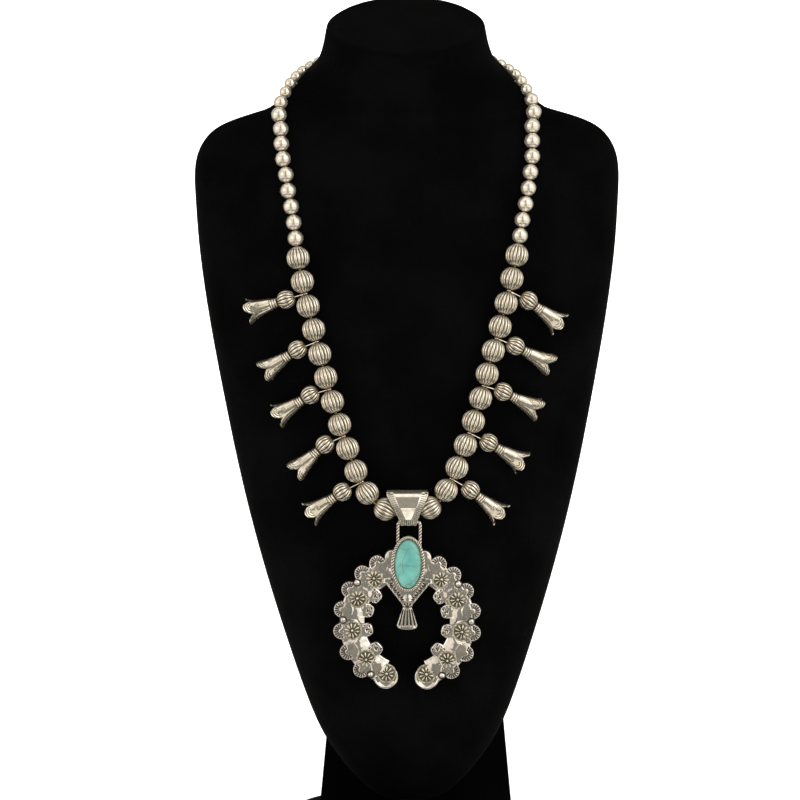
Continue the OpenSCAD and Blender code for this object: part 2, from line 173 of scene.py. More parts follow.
class Shaper:
    """Small modelling steps that the pieces share, each on a bmesh of its own."""

    @staticmethod
    def lathe(outline: Outline, steps: int) -> bmesh.types.BMesh:
        """Spins an outline round the Z axis.

        Args:
            outline: Points of (radius, height).
            steps: Faces round the shape.

        Returns:
            A new bmesh.
        """
        bm = bmesh.new()
        verts = [bm.verts.new((r, 0, z)) for r, z in outline]
        edges = [bm.edges.new(pair) for pair in zip(verts, verts[1:])]
        bmesh.ops.spin(bm, geom=verts + edges, cent=(0, 0, 0), axis=(0, 0, 1), dvec=(0, 0, 0),
                       angle=math.tau, steps=steps, use_merge=True, use_duplicate=False)
        bmesh.ops.remove_doubles(bm, verts=bm.verts, dist=1e-4)
        bmesh.ops.recalc_face_normals(bm, faces=bm.faces)
        return bm

    @staticmethod
    def sheet(columns: int, rows: int, place: Callable[[float, float], Sequence[float]]
              ) -> bmesh.types.BMesh:
        """Lays a grid over a surface that is given by a formula.

        Args:
            columns: Faces along u.
            rows: Faces along v.
            place: Gives the point for u and v between 0 and 1.

        Returns:
            A new bmesh.
        """
        bm = bmesh.new()
        bmesh.ops.create_grid(bm, x_segments=columns, y_segments=rows, size=0.5)
        for vert in bm.verts:
            vert.co = place(vert.co.x + 0.5, vert.co.y + 0.5)
        return bm

    @staticmethod
    def slab(columns: int, rows: int, face: Callable[[float, float], tuple[Vector, float]]
             ) -> bmesh.types.BMesh:
        """Lays a marked face over a grid and closes it with walls and a flat back at height 0.

        Args:
            columns: Faces along u.
            rows: Faces along v.
            face: Gives the point and its depth of recess for u and v between 0 and 1.

        Returns:
            A new bmesh.
        """
        marks = []

        def place(u: float, v: float) -> Vector:
            """Places a point and keeps its recess."""
            point, recess = face(u, v)
            marks.append(recess)
            return point

        bm = Shaper.sheet(columns, rows, place)
        layer = bm.verts.layers.float.new(RECESS)
        for vert, recess in zip(bm.verts, marks):
            vert[layer] = recess
        border = [edge for edge in bm.edges if edge.is_boundary]
        grown = bmesh.ops.extrude_edge_only(bm, edges=border)["geom"]
        for vert in (g for g in grown if isinstance(g, bmesh.types.BMVert)):
            vert.co.z = 0.0
            vert[layer] = 0.0
        bmesh.ops.contextual_create(bm, geom=[g for g in grown if isinstance(g, bmesh.types.BMEdge)])
        bmesh.ops.recalc_face_normals(bm, faces=bm.faces)
        return bm

    @staticmethod
    def sweep(ring: Outline, frames: Sequence[Matrix], closed: bool, deep: float = 0.0
              ) -> bmesh.types.BMesh:
        """Extrudes a ring from each placement to the next one.

        Args:
            ring: Points of the ring in the placement's XY plane.
            frames: The placements in order.
            closed: Whether the last placement meets the first one.
            deep: The share of the ring's radius that counts as a recess, or 0 for none.

        Returns:
            A new bmesh.
        """
        bm = bmesh.new()
        mark = bm.verts.layers.float.new(RECESS)
        reach = max(math.hypot(x, y) for x, y in ring)
        verts = [bm.verts.new(frames[0] @ Vector((x, y, 0))) for x, y in ring]
        edges = [bm.edges.new((verts[i], verts[(i + 1) % len(verts)])) for i in range(len(verts))]
        if not closed:
            bm.faces.new(verts)
        for before, after in zip(frames, frames[1:]):
            grown = bmesh.ops.extrude_edge_only(bm, edges=edges)["geom"]
            verts = [g for g in grown if isinstance(g, bmesh.types.BMVert)]
            edges = [g for g in grown if isinstance(g, bmesh.types.BMEdge)]
            bmesh.ops.transform(bm, matrix=after @ before.inverted(), verts=verts)
            for vert in verts if deep else ():
                share = (vert.co - after.translation).length / reach
                vert[mark] = 1 - smoothstep(deep, deep + 0.22, share)
        if closed:
            bmesh.ops.remove_doubles(bm, verts=bm.verts, dist=MERGE)
        else:
            bmesh.ops.contextual_create(bm, geom=edges)
        bmesh.ops.recalc_face_normals(bm, faces=bm.faces)
        return bm

    @staticmethod
    def ball(radii: Sequence[float], place: Matrix, around: int = 16, rings: int = 10
             ) -> bmesh.types.BMesh:
        """Makes an egg or ball with three radii at a placement."""
        bm = bmesh.new()
        bmesh.ops.create_uvsphere(bm, u_segments=around, v_segments=rings, radius=1)
        bmesh.ops.transform(bm, matrix=place @ Matrix.Diagonal((*radii, 1)), verts=bm.verts)
        return bm

    @staticmethod
    def joined(parts: Sequence[bmesh.types.BMesh]) -> bmesh.types.BMesh:
        """Gathers several bmeshes in the first one and frees the others."""
        whole = parts[0]
        for part in parts[1:]:
            mesh = baked(part, "part")
            whole.from_mesh(mesh)
            bpy.data.meshes.remove(mesh)
        return whole

    @staticmethod
    def moved(bm: bmesh.types.BMesh, place: Matrix) -> bmesh.types.BMesh:
        """Turns a bmesh to a placement and returns it."""
        bmesh.ops.transform(bm, matrix=place, verts=bm.verts)
        return bm


def circle(radius: float, count: int) -> list[tuple[float, float]]:
    """Returns count points round a circle."""
    return [(radius * math.cos(i * math.tau / count), radius * math.sin(i * math.tau / count))
            for i in range(count)]


def rope_ring(strands: int, radius: float, count: int) -> list[tuple[float, float]]:
    """Returns the section of a rope of round strands.

    Args:
        strands: Strands in the rope.
        radius: Radius over the strands.
        count: Points round the section.

    Returns:
        The points.
    """
    points = []
    for i in range(count):
        a = i * math.tau / count
        r = radius * (0.5 + 0.5 * abs(math.cos(strands * a / 2)) ** 0.75)
        points.append((r * math.cos(a), r * math.sin(a)))
    return points


class Nodes:
    """Adds and links the nodes of one node tree."""

    def __init__(self, tree: bpy.types.NodeTree) -> None:
        """Keeps the tree."""
        self.tree = tree

    def add(self, kind: str, **values: object) -> bpy.types.Node:
        """Adds a node and sets its properties, or its sockets where a name is a socket's.

        Args:
            kind: The node's type name without its ShaderNode prefix.
            values: Property names, or socket names with underscores for spaces.

        Returns:
            The new node.
        """
        prefix = "" if kind.startswith("Node") else "ShaderNode"
        node = self.tree.nodes.new(prefix + kind)
        for name, value in values.items():
            if hasattr(node, name):
                setattr(node, name, value)
            else:
                node.inputs[name.replace("_", " ")].default_value = value
        return node

    def link(self, source: bpy.types.NodeSocket, target: bpy.types.NodeSocket) -> None:
        """Links an output to an input."""
        self.tree.links.new(source, target)

    def maths(self, operation: str, a: object, b: object = 0.0) -> bpy.types.NodeSocket:
        """Adds a Math node.

        Args:
            operation: The node's operation.
            a: A socket or a number.
            b: A socket or a number.

        Returns:
            The result's socket.
        """
        node = self.tree.nodes.new("ShaderNodeMath")
        node.operation = operation
        for slot, value in zip(node.inputs, (a, b)):
            if isinstance(value, bpy.types.NodeSocket):
                self.link(value, slot)
            else:
                slot.default_value = value
        return node.outputs[0]

    def ramp(self, source: bpy.types.NodeSocket, low: float, high: float) -> bpy.types.NodeSocket:
        """Maps low to 0 and high to 1, smoothly.

        Args:
            source: The value's socket.
            low: The value that gives 0.
            high: The value that gives 1.

        Returns:
            The result's socket.
        """
        node = self.add("MapRange", interpolation_type="SMOOTHSTEP")
        node.inputs["From Min"].default_value = low
        node.inputs["From Max"].default_value = high
        self.link(source, node.inputs["Value"])
        return node.outputs["Result"]

    def mix(self, share: object, a: object, b: object) -> bpy.types.NodeSocket:
        """Mixes two colours, each a socket or a colour, by a share."""
        node = self.tree.nodes.new("ShaderNodeMix")
        node.data_type = "RGBA"
        slots = [s for s in node.inputs if s.type == "RGBA"]
        for slot, value in ((node.inputs["Factor"], share), (slots[0], a), (slots[1], b)):
            if isinstance(value, bpy.types.NodeSocket):
                self.link(value, slot)
            else:
                slot.default_value = value
        return next(s for s in node.outputs if s.type == "RGBA")


class Effects:
    """Shader node groups that several finishes share, each built once."""

    def __init__(self) -> None:
        """Builds every group."""
        self.tarnish = self._tarnish()
        self.grain = self._grain()

    @staticmethod
    def _group(name: str, inputs: Sequence[tuple[str, str, object]],
               outputs: Sequence[tuple[str, str]]) -> tuple[bpy.types.NodeTree, Nodes, dict, dict]:
        """Starts a group and returns it with its nodes and its named sockets.

        Args:
            name: The group's name.
            inputs: Name, type and default value of each input.
            outputs: Name and type of each output.

        Returns:
            The tree, a Nodes helper, the input sockets and the output sockets.
        """
        tree = bpy.data.node_groups.new(name, "ShaderNodeTree")
        for label, kind, value in inputs:
            socket = tree.interface.new_socket(label, in_out="INPUT", socket_type="NodeSocket" + kind)
            socket.default_value = value
        for label, kind in outputs:
            tree.interface.new_socket(label, in_out="OUTPUT", socket_type="NodeSocket" + kind)
        nodes = Nodes(tree)
        source = nodes.add("NodeGroupInput")
        target = nodes.add("NodeGroupOutput")
        return (tree, nodes, {s.name: s for s in source.outputs if s.name},
                {s.name: s for s in target.inputs if s.name})

    def _tarnish(self) -> bpy.types.NodeTree:
        """Dark oxide in the recesses, with a patchy edge, and a worn bright skin elsewhere."""
        tree, n, given, out = self._group(
            "tarnish",
            [("Openness", "Float", 1.0), ("Recess", "Float", 0.0), ("Bright", "Color", (1, 1, 1, 1)),
             ("Dull", "Color", (1, 1, 1, 1)), ("Dark", "Color", (0, 0, 0, 1)), ("Depth", "Float", 0.6),
             ("Patches", "Float", 0.5), ("Polish", "Float", 0.2), ("Scale", "Float", 400.0)],
            [("Color", "Color"), ("Roughness", "Float"), ("Height", "Float")])
        where = n.add("TexCoord").outputs["Object"]
        patches = n.add("TexNoise", Detail=4.0, Roughness=0.6)
        n.link(where, patches.inputs["Vector"])
        n.link(given["Scale"], patches.inputs["Scale"])
        fine = n.add("TexNoise", Scale=2600.0, Detail=3.0)
        n.link(where, fine.inputs["Vector"])
        spread = n.maths("MULTIPLY", n.maths("SUBTRACT", patches.outputs["Fac"], 0.5), given["Patches"])
        open_now = n.maths("ADD", given["Openness"], spread)
        closed = n.maths("SUBTRACT", 1.0, n.ramp(open_now, 0.28, 0.8))
        mask = n.maths("MULTIPLY", n.maths("MAXIMUM", closed, given["Recess"]), given["Depth"])
        worn = n.ramp(patches.outputs["Fac"], 0.35, 0.7)
        skin = n.mix(worn, given["Dull"], given["Bright"])
        n.link(n.mix(mask, skin, given["Dark"]), out["Color"])
        scuffs = n.maths("MULTIPLY", n.maths("SUBTRACT", fine.outputs["Fac"], 0.5), 0.1)
        rough = n.maths("ADD", given["Polish"], scuffs)
        rough = n.maths("ADD", rough, n.maths("MULTIPLY", mask, 0.3))
        n.link(n.maths("ADD", rough, n.maths("MULTIPLY", n.maths("SUBTRACT", 1.0, worn), 0.07)),
               out["Roughness"])
        n.link(fine.outputs["Fac"], out["Height"])
        return tree

    def _grain(self) -> bpy.types.NodeTree:
        """A fine grain with soft clouds, for pile and stone."""
        tree, n, given, out = self._group(
            "grain", [("Fine", "Float", 2000.0), ("Coarse", "Float", 60.0)],
            [("Fine", "Float"), ("Clouds", "Float")])
        where = n.add("TexCoord").outputs["Object"]
        for scale, result, detail in (("Fine", "Fine", 2.0), ("Coarse", "Clouds", 4.0)):
            texture = n.add("TexNoise", Detail=detail)
            n.link(where, texture.inputs["Vector"])
            n.link(given[scale], texture.inputs["Scale"])
            n.link(texture.outputs["Fac"], out[result])
        return tree


@dataclass(frozen=True)
class Finish:
    """A finish with the name of its material slot."""

    name: str

    def start(self, **inputs: object) -> tuple[bpy.types.Material, Nodes, bpy.types.Node]:
        """Makes an empty material with a Principled shader.

        Args:
            inputs: Values of the shader's inputs, by name with underscores for spaces.

        Returns:
            The material, its nodes and its shader.
        """
        material = bpy.data.materials.new(self.name)
        material.use_nodes = True
        material.node_tree.nodes.clear()
        nodes = Nodes(material.node_tree)
        shader = nodes.add("BsdfPrincipled", **inputs)
        output = nodes.add("OutputMaterial")
        nodes.link(shader.outputs["BSDF"], output.inputs["Surface"])
        return material, nodes, shader

    @staticmethod
    def raise_grain(nodes: Nodes, shader: bpy.types.Node, height: bpy.types.NodeSocket,
                    strength: float, distance: float) -> None:
        """Feeds a height to the shader's normal.

        Args:
            nodes: The material's nodes.
            shader: Its Principled shader.
            height: The socket that gives the height.
            strength: The bump's strength.
            distance: The bump's distance in metres.
        """
        bump = nodes.add("Bump", Strength=strength, Distance=distance)
        nodes.link(height, bump.inputs["Height"])
        nodes.link(bump.outputs["Normal"], shader.inputs["Normal"])


@dataclass(frozen=True)
class Silver(Finish):
    """Silver with dark oxide in its recesses."""

    bright: tuple[float, float, float]
    dull: tuple[float, float, float]
    dark: tuple[float, float, float] = (0.035, 0.026, 0.018)
    depth: float = 0.9
    reach: float = 0.9
    patches: float = 0.35
    polish: float = 0.18
    scale: float = 300.0
    grain: float = 0.25
    metal: float = 0.84

    def material(self, effects: Effects) -> bpy.types.Material:
        """Makes the material.

        Args:
            effects: The shared node groups.

        Returns:
            The new material.
        """
        material, nodes, shader = self.start(Roughness=self.polish, Metallic=self.metal)
        openness = nodes.add("AmbientOcclusion", samples=6, only_local=True, Distance=self.reach * MM)
        recess = nodes.add("Attribute", attribute_name=RECESS)
        group = nodes.add("Group", node_tree=effects.tarnish, Bright=(*self.bright, 1),
                          Dull=(*self.dull, 1), Dark=(*self.dark, 1), Depth=self.depth,
                          Patches=self.patches, Polish=self.polish, Scale=self.scale)
        nodes.link(openness.outputs["AO"], group.inputs["Openness"])
        nodes.link(recess.outputs["Fac"], group.inputs["Recess"])
        nodes.link(group.outputs["Color"], shader.inputs["Base Color"])
        nodes.link(group.outputs["Roughness"], shader.inputs["Roughness"])
        self.raise_grain(nodes, shader, group.outputs["Height"], self.grain, 0.02 * MM)
        return material


@dataclass(frozen=True)
class Velvet(Finish):
    """Matte black pile that lightens where it is seen edge on."""

    colour: tuple[float, float, float] = (0.0011, 0.0011, 0.0012)
    sheen: float = 0.02

    def material(self, effects: Effects) -> bpy.types.Material:
        """Makes the material.

        Args:
            effects: The shared node groups.

        Returns:
            The new material.
        """
        material, nodes, shader = self.start(
            Roughness=0.95, Metallic=0.0, Specular_IOR_Level=0.02, Sheen_Weight=self.sheen,
            Sheen_Roughness=0.35, Sheen_Tint=(0.25, 0.25, 0.27, 1))
        grain = nodes.add("Group", node_tree=effects.grain, Fine=1700.0, Coarse=28.0)
        lit = tuple(2.2 * c for c in self.colour)
        share = nodes.ramp(grain.outputs["Clouds"], 0.3, 0.75)
        nodes.link(nodes.mix(share, (*self.colour, 1), (*lit, 1)), shader.inputs["Base Color"])
        self.raise_grain(nodes, shader, grain.outputs["Fine"], 0.5, 0.25 * MM)
        return material


@dataclass(frozen=True)
class Turquoise(Finish):
    """Blue-green stone with fine brown-grey veins under a polish."""

    light: tuple[float, float, float] = (0.15, 0.43, 0.38)
    deep: tuple[float, float, float] = (0.09, 0.33, 0.3)
    vein: tuple[float, float, float] = (0.13, 0.2, 0.16)

    def material(self, effects: Effects) -> bpy.types.Material:
        """Makes the material.

        Args:
            effects: The shared node groups.

        Returns:
            The new material.
        """
        material, nodes, shader = self.start(Roughness=0.22, Metallic=0.0, Coat_Weight=0.3,
                                             Coat_Roughness=0.12)
        grain = nodes.add("Group", node_tree=effects.grain, Fine=1500.0, Coarse=170.0)
        where = nodes.add("TexCoord").outputs["Object"]
        warp = nodes.add("TexNoise", Scale=190.0, Detail=3.0)
        nodes.link(where, warp.inputs["Vector"])
        bend = nodes.add("VectorMath", operation="MULTIPLY_ADD")
        nodes.link(warp.outputs["Color"], bend.inputs[0])
        bend.inputs[1].default_value = (0.0045, 0.0045, 0.0045)
        nodes.link(where, bend.inputs[2])
        cells = nodes.add("TexVoronoi", feature="DISTANCE_TO_EDGE", Scale=115.0)
        nodes.link(bend.outputs["Vector"], cells.inputs["Vector"])
        edge = nodes.maths("SUBTRACT", 1.0, nodes.ramp(cells.outputs["Distance"], 0.012, 0.045))
        broken = nodes.ramp(warp.outputs["Fac"], 0.34, 0.5)
        vein = nodes.maths("MULTIPLY", nodes.maths("MULTIPLY", edge, broken), 0.85)
        share = nodes.ramp(grain.outputs["Clouds"], 0.3, 0.72)
        skin = nodes.mix(share, (*self.deep, 1), (*self.light, 1))
        nodes.link(nodes.mix(vein, skin, (*self.vein, 1)), shader.inputs["Base Color"])
        self.raise_grain(nodes, shader, grain.outputs["Fine"], 0.08, 0.03 * MM)
        return material


@dataclass(frozen=True)
class Waxed(Finish):
    """Waxed thread."""

    colour: tuple[float, float, float] = (0.3, 0.27, 0.22)

    def material(self, effects: Effects) -> bpy.types.Material:
        """Makes the material.

        Args:
            effects: The shared node groups.

        Returns:
            The new material.
        """
        material, nodes, shader = self.start(Roughness=0.45, Metallic=0.0)
        grain = nodes.add("Group", node_tree=effects.grain, Fine=1800.0)
        dark = tuple(0.5 * c for c in self.colour)
        nodes.link(nodes.mix(grain.outputs["Fine"], (*dark, 1), (*self.colour, 1)),
                   shader.inputs["Base Color"])
        self.raise_grain(nodes, shader, grain.outputs["Fine"], 0.5, 0.08 * MM)
        return material


class Slot(Enum):
    """Material slots of the record. The pieces pass one along, but nothing reads it."""

    VELVET = "velvet"
    THREAD = "thread"
    POLISHED = "polished_silver"
    BEAD = "bead_silver"
    CAST = "cast_silver"
    STONE = "turquoise"


class Workshop:
    """Holds the frame and the finishes, and turns shapes into pieces of the model."""

    def __init__(self, frame: dict) -> None:
        """Makes the finishes.
        """
        self.frame = frame
        self.effects = Effects()
        finishes = {
            "velvet": Velvet("black_velvet"),
            "thread": Waxed("waxed_thread"),
            "polished": Silver("polished_silver", (0.9, 0.84, 0.73), (0.78, 0.71, 0.6),
                               polish=0.1, depth=0.9, patches=0.2, metal=0.76),
            "bead": Silver("fluted_silver", (0.93, 0.87, 0.75), (0.74, 0.67, 0.55), depth=0.97,
                           reach=0.8, patches=0.15, polish=0.1, grain=0.12, metal=0.93),
            "cast": Silver("cast_silver", (0.95, 0.88, 0.81), (0.7, 0.67, 0.62), depth=0.95, reach=0.65,
                           polish=0.07, patches=0.3, scale=170.0, grain=0.1, metal=0.94),
            "pewter": Silver("aged_silver", (0.9, 0.86, 0.7), (0.62, 0.58, 0.45), depth=0.96,
                             reach=1.1, polish=0.15, patches=0.4),
            "stamped": Silver("stamped_silver", (0.93, 0.87, 0.76), (0.8, 0.74, 0.64), depth=0.96,
                              reach=0.3, patches=0.15, polish=0.1, metal=0.88),
            "stone": Turquoise("turquoise_stone"),
        }
        self.materials = {key: finish.material(self.effects) for key, finish in finishes.items()}

    def node(self, name: str) -> bpy.types.Object:
        """Returns a CAD node's object."""
        return self.frame["nodes"][name]

    def points(self, name: str) -> np.ndarray:
        """Returns the distinct corner points of a CAD node, in millimetres."""
        mesh = self.node(name).data
        flat = np.empty(len(mesh.vertices) * 3)
        mesh.vertices.foreach_get("co", flat)
        return np.unique(np.round(flat.reshape(-1, 3) / MM, 3), axis=0)

    def merged(self, name: str) -> bmesh.types.BMesh:
        """Returns a merged copy of a CAD node's mesh, in millimetres."""
        bm = opened(self.node(name).data)
        bmesh.ops.scale(bm, vec=(1 / MM,) * 3, verts=bm.verts)
        bmesh.ops.remove_doubles(bm, verts=bm.verts, dist=0.002)
        return bm

    def finish(self, name: str, bm: bmesh.types.BMesh, material: str, slot: Slot, body: str = "root",
               replaces: Sequence[str] = (), smooth: float = 40.0) -> bpy.types.Object:
        """Turns a shape in millimetres into a piece that rides on a body.

        Args:
            name: The piece's name.
            bm: The shape, in its place. It is freed.
            material: The key of its material.
            slot: The record's slot of that finish. It is not used.
            body: The CAD body that it rides on.
            replaces: The CAD nodes that it stands for.
            smooth: Edges that bend less than this many degrees are shaded smooth.

        Returns:
            The new object.
        """
        bmesh.ops.scale(bm, vec=(MM,) * 3, verts=bm.verts)
        for edge in bm.edges:
            edge.smooth = len(edge.link_faces) == 2 and edge.calc_face_angle(0) < math.radians(smooth)
        for face in bm.faces:
            face.smooth = True
        mesh = baked(bm, name)
        mesh.materials.append(self.materials[material])
        piece = bpy.data.objects.new(name, mesh)
        bpy.context.scene.collection.objects.link(piece)
        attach(piece, body)
        if replaces:
            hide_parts(*replaces)
        LOG.info("%s: %d faces", name, len(mesh.polygons))
        return piece


@dataclass
class NeckBust:
    """The velvet form and its foot."""

    shop: Workshop
    beads: Sequence[tuple[Vector, float]]
    fill_rounds: int = 3
    fill_most: float = 1.6
    bead_gap: float = 0.3
    rise: float = 1.8
    cap_inset: float = 1.2
    cap_depth: float = 40.0
    fade: tuple[float, float] = (2, 7)
    smoothness: int = 2
    quad_bend: float = 60.0
    quad_skew: float = 80.0
    flat_bend: float = 1.0
    upward: float = 0.6
    foot_bend: float = 0.5

    def build(self) -> None:
        """Makes the form as a smooth skin over the CAD form, and merges the foot's flat faces."""
        bm = self.shop.merged("neck_bust")
        self.ring_cap(bm)
        bmesh.ops.join_triangles(bm, faces=bm.faces, angle_face_threshold=math.radians(self.quad_bend),
                                 angle_shape_threshold=math.radians(self.quad_skew))
        form = self.shop.finish("velvet_form", bm, "velvet", Slot.VELVET, replaces=["neck_bust"],
                                smooth=180)
        rounding = form.modifiers.new("rounding", "SUBSURF")
        rounding.levels = rounding.render_levels = self.smoothness
        self.fill_out(form)
        self.meet_beads(form)
        foot = self.shop.merged("bust_foot")
        bmesh.ops.dissolve_limit(foot, angle_limit=math.radians(self.foot_bend), verts=foot.verts,
                                 edges=foot.edges)
        self.shop.finish("velvet_foot", foot, "velvet", Slot.VELVET, replaces=["bust_foot"], smooth=30)

    def ring_cap(self, bm: bmesh.types.BMesh) -> None:
        """Makes the flat top of the neck one face, with a second ring inside its rim.

        Args:
            bm: The form's cage.
        """
        top = max(bm.faces, key=lambda face: face.calc_center_median().z)
        high = top.calc_center_median().z - self.cap_depth
        bm.normal_update()
        flat = [e for e in bm.edges if min(v.co.z for v in e.verts) > high and len(e.link_faces) == 2
                and min(f.normal.z for f in e.link_faces) > self.upward
                and e.calc_face_angle(0) < math.radians(self.flat_bend)]
        bmesh.ops.dissolve_edges(bm, edges=flat, use_verts=False)
        cap = max(bm.faces, key=lambda face: len(face.verts))
        bmesh.ops.inset_region(bm, faces=[cap], thickness=self.cap_inset, use_even_offset=True)

    def fill_out(self, form: bpy.types.Object) -> None:
        """Pushes the form's cage out until its rounded skin passes through the CAD corners.

        Args:
            form: The form, with its rounding on.
        """
        corners = [vert.co.copy() for vert in form.data.vertices]
        for _ in range(self.fill_rounds):
            skin = form.evaluated_get(bpy.context.evaluated_depsgraph_get()).to_mesh()
            gaps = [corner - skin.vertices[i].co for i, corner in enumerate(corners)]
            for vert, gap, corner in zip(form.data.vertices, gaps, corners):
                away = vert.co + gap - corner
                vert.co = corner + away * min(1.0, self.fill_most * MM / max(away.length, 1e-9))
            form.data.update()

    def meet_beads(self, form: bpy.types.Object) -> None:
        """Fixes the rounded skin, and moves it to lie just under the smooth beads beside it.

        Args:
            form: The form, with its rounding on.
        """
        bm = opened(form.evaluated_get(bpy.context.evaluated_depsgraph_get()).to_mesh())
        form.modifiers.clear()
        bm.normal_update()
        for vert in bm.verts:
            place = vert.co / MM
            near = min((place - centre).length - radius for centre, radius in self.beads)
            rise = min(self.rise, near - self.bead_gap) * (1 - smoothstep(*self.fade, near))
            vert.co += rise * MM * vert.normal
        bm.to_mesh(form.data)
        bm.free()
        form.data.update()


@dataclass
class Bead:
    """Where a bead sits and which way its hole runs."""

    place: Vector
    axis: Vector


@dataclass
class BeadString:
    """The fluted and the smooth beads, their thread and the clasp."""

    shop: Workshop
    count: int = 12
    fluted_r: float = 5.8
    fluted_half: float = 5.78
    bore_r: float = 0.95
    flutes: int = 18
    flute_depth: float = 0.62
    steps_per_flute: int = 6
    rings: int = 22
    smooth_bore_r: float = 0.85
    turn_step: float = 7.0
    pole: tuple[float, float] = (0.12, 0.62)
    oxide: tuple[float, float] = (0.28, 0.64)
    seam_depth: float = 0.12
    seam_half: float = 0.25
    bore_rim: float = 1.3
    bore_sink: float = 0.86
    bore_oxide: float = 0.8
    arc_steps: int = 20
    lip: float = 0.06
    fluted: dict[str, list[Bead]] = field(default_factory=dict)
    smooth: list[tuple[Vector, float]] = field(default_factory=list)

    def read_places(self) -> None:
        """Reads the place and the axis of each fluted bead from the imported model."""
        for side in SIDES:
            beads = []
            for i in range(1, self.count + 1):
                points = self.shop.points(f"fluted_bead_{side}_{i}")
                axis = Vector(long_axis(points))
                beads.append(Bead(Vector(points.mean(axis=0)), axis if axis.z > 0 else -axis))
            self.fluted[side] = beads

    def fluted_bead(self) -> bpy.types.Mesh:
        """Shapes one fluted bead about its own axis.

        Returns:
            The mesh in millimetres, with its grooves marked as recesses.
        """
        bm = bmesh.new()
        bmesh.ops.create_uvsphere(bm, u_segments=self.flutes * self.steps_per_flute,
                                  v_segments=self.rings, radius=1)
        layer = bm.verts.layers.float.new(RECESS)
        for vert in bm.verts:
            rho, turn = polar_of(vert.co)
            cut = flute(turn, self.flutes) * smoothstep(*self.pole, rho)
            seam = self.seam_depth * math.exp(-((vert.co.z * self.fluted_half / self.seam_half) ** 2))
            r = self.fluted_r - self.flute_depth * cut - seam * (1 - cut)
            vert[layer] = smoothstep(*self.oxide, cut)
            height = vert.co.z * self.fluted_half
            if rho * self.fluted_r < self.bore_r * self.bore_rim:
                height *= self.bore_sink
                vert[layer] = self.bore_oxide
            vert.co = (vert.co.x * r, vert.co.y * r, height)
        return baked(bm, "fluted_bead")

    def smooth_places(self, side: str) -> list[tuple[Vector, float]]:
        """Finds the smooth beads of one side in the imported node, in order from the fluted ones.

        Args:
            side: Which side.

        Returns:
            The centre and radius of each bead.
        """
        bm = self.shop.merged(f"smooth_beads_{side}")
        found = []
        seen: set[int] = set()
        bm.verts.ensure_lookup_table()
        for start in bm.verts:
            if start.index in seen:
                continue
            island, queue = [], [start]
            seen.add(start.index)
            while queue:
                vert = queue.pop()
                island.append(vert.co.copy())
                for edge in vert.link_edges:
                    other = edge.other_vert(vert)
                    if other.index not in seen:
                        seen.add(other.index)
                        queue.append(other)
            low = Vector([min(p[k] for p in island) for k in range(3)])
            high = Vector([max(p[k] for p in island) for k in range(3)])
            centre = (low + high) / 2
            found.append((centre, max((p - centre).length for p in island)))
        bm.free()
        here = self.fluted[side][0].place
        ordered = []
        while found:
            nearest = min(found, key=lambda item: (item[0] - here).length)
            found.remove(nearest)
            ordered.append(nearest)
            here = nearest[0]
        return ordered

    def smooth_bead(self, radius: float) -> bmesh.types.BMesh:
        """Turns one smooth bead with a small flat lip round each end of its hole."""
        mouth = math.asin(self.smooth_bore_r / radius)
        first, sweep = mouth + self.lip, math.pi - 2 * mouth - 2 * self.lip
        arc = [first + sweep * i / self.arc_steps for i in range(self.arc_steps + 1)]
        outline = [(radius * math.sin(a), radius * math.cos(a)) for a in arc]
        end = radius * math.cos(mouth)
        bore = [(self.smooth_bore_r, -end + 0.05), (self.smooth_bore_r * 0.94, -end + 0.4),
                (self.smooth_bore_r * 0.94, end - 0.4), (self.smooth_bore_r, end - 0.05)]
        return Shaper.lathe(outline + bore + outline[:1], 40)

    def build(self) -> None:
        """Makes every bead, and dresses the thread and the clasp."""
        self.read_places()
        pattern = self.fluted_bead()
        for side in SIDES:
            for i, bead in enumerate(self.fluted[side], start=1):
                place = frame_at(bead.place, bead.axis, Vector((0, -1, 0)))
                turn = Matrix.Rotation(math.radians(i * self.turn_step), 4, "Z")
                bm = Shaper.moved(opened(pattern), place @ turn)
                self.shop.finish(f"melon_bead_{side}_{i}", bm, "bead", Slot.BEAD,
                                 replaces=[f"fluted_bead_{side}_{i}"], smooth=80)
            self.string_of_smooth(side)
        bpy.data.meshes.remove(pattern)
        self.dress_thread()
        self.build_clasp()

    def string_of_smooth(self, side: str) -> None:
        """Makes the smooth beads of one side as one piece."""
        places = self.smooth_places(side)
        self.smooth += places
        parts = []
        for i, (centre, radius) in enumerate(places):
            before = places[max(0, i - 1)][0]
            after = places[min(len(places) - 1, i + 1)][0]
            parts.append(Shaper.moved(self.smooth_bead(radius), frame_at(centre, after - before)))
        self.shop.finish(f"round_beads_{side}", Shaper.joined(parts), "polished", Slot.POLISHED,
                         replaces=[f"smooth_beads_{side}"])

    def dress_thread(self) -> None:
        """Gives the CAD thread its finish."""
        thread = self.shop.node("thread")
        thread.data.materials.clear()
        thread.data.materials.append(self.shop.materials["thread"])

    def build_clasp(self) -> None:
        """Turns the plain barrel clasp, with a ring at each end."""
        points = self.shop.points("clasp")
        centre = Vector((points.min(axis=0) + points.max(axis=0)) / 2)
        axis = Vector(long_axis(points))
        along = (points - np.array(centre)) @ np.array(axis)
        half = float(along.max())
        outline = [(0.0, -half), (1.0, -half), (1.25, -half + 0.3), (1.2, -half + 0.8),
                   (1.7, -half + 1.1), (1.95, -half + 1.9), (1.95, half - 1.9), (1.7, half - 1.1),
                   (1.2, half - 0.8), (1.25, half - 0.3), (1.0, half), (0.0, half)]
        bm = Shaper.moved(Shaper.lathe(outline, 40), frame_at(centre, axis))
        self.shop.finish("barrel_clasp", bm, "polished", Slot.POLISHED, replaces=["clasp"])


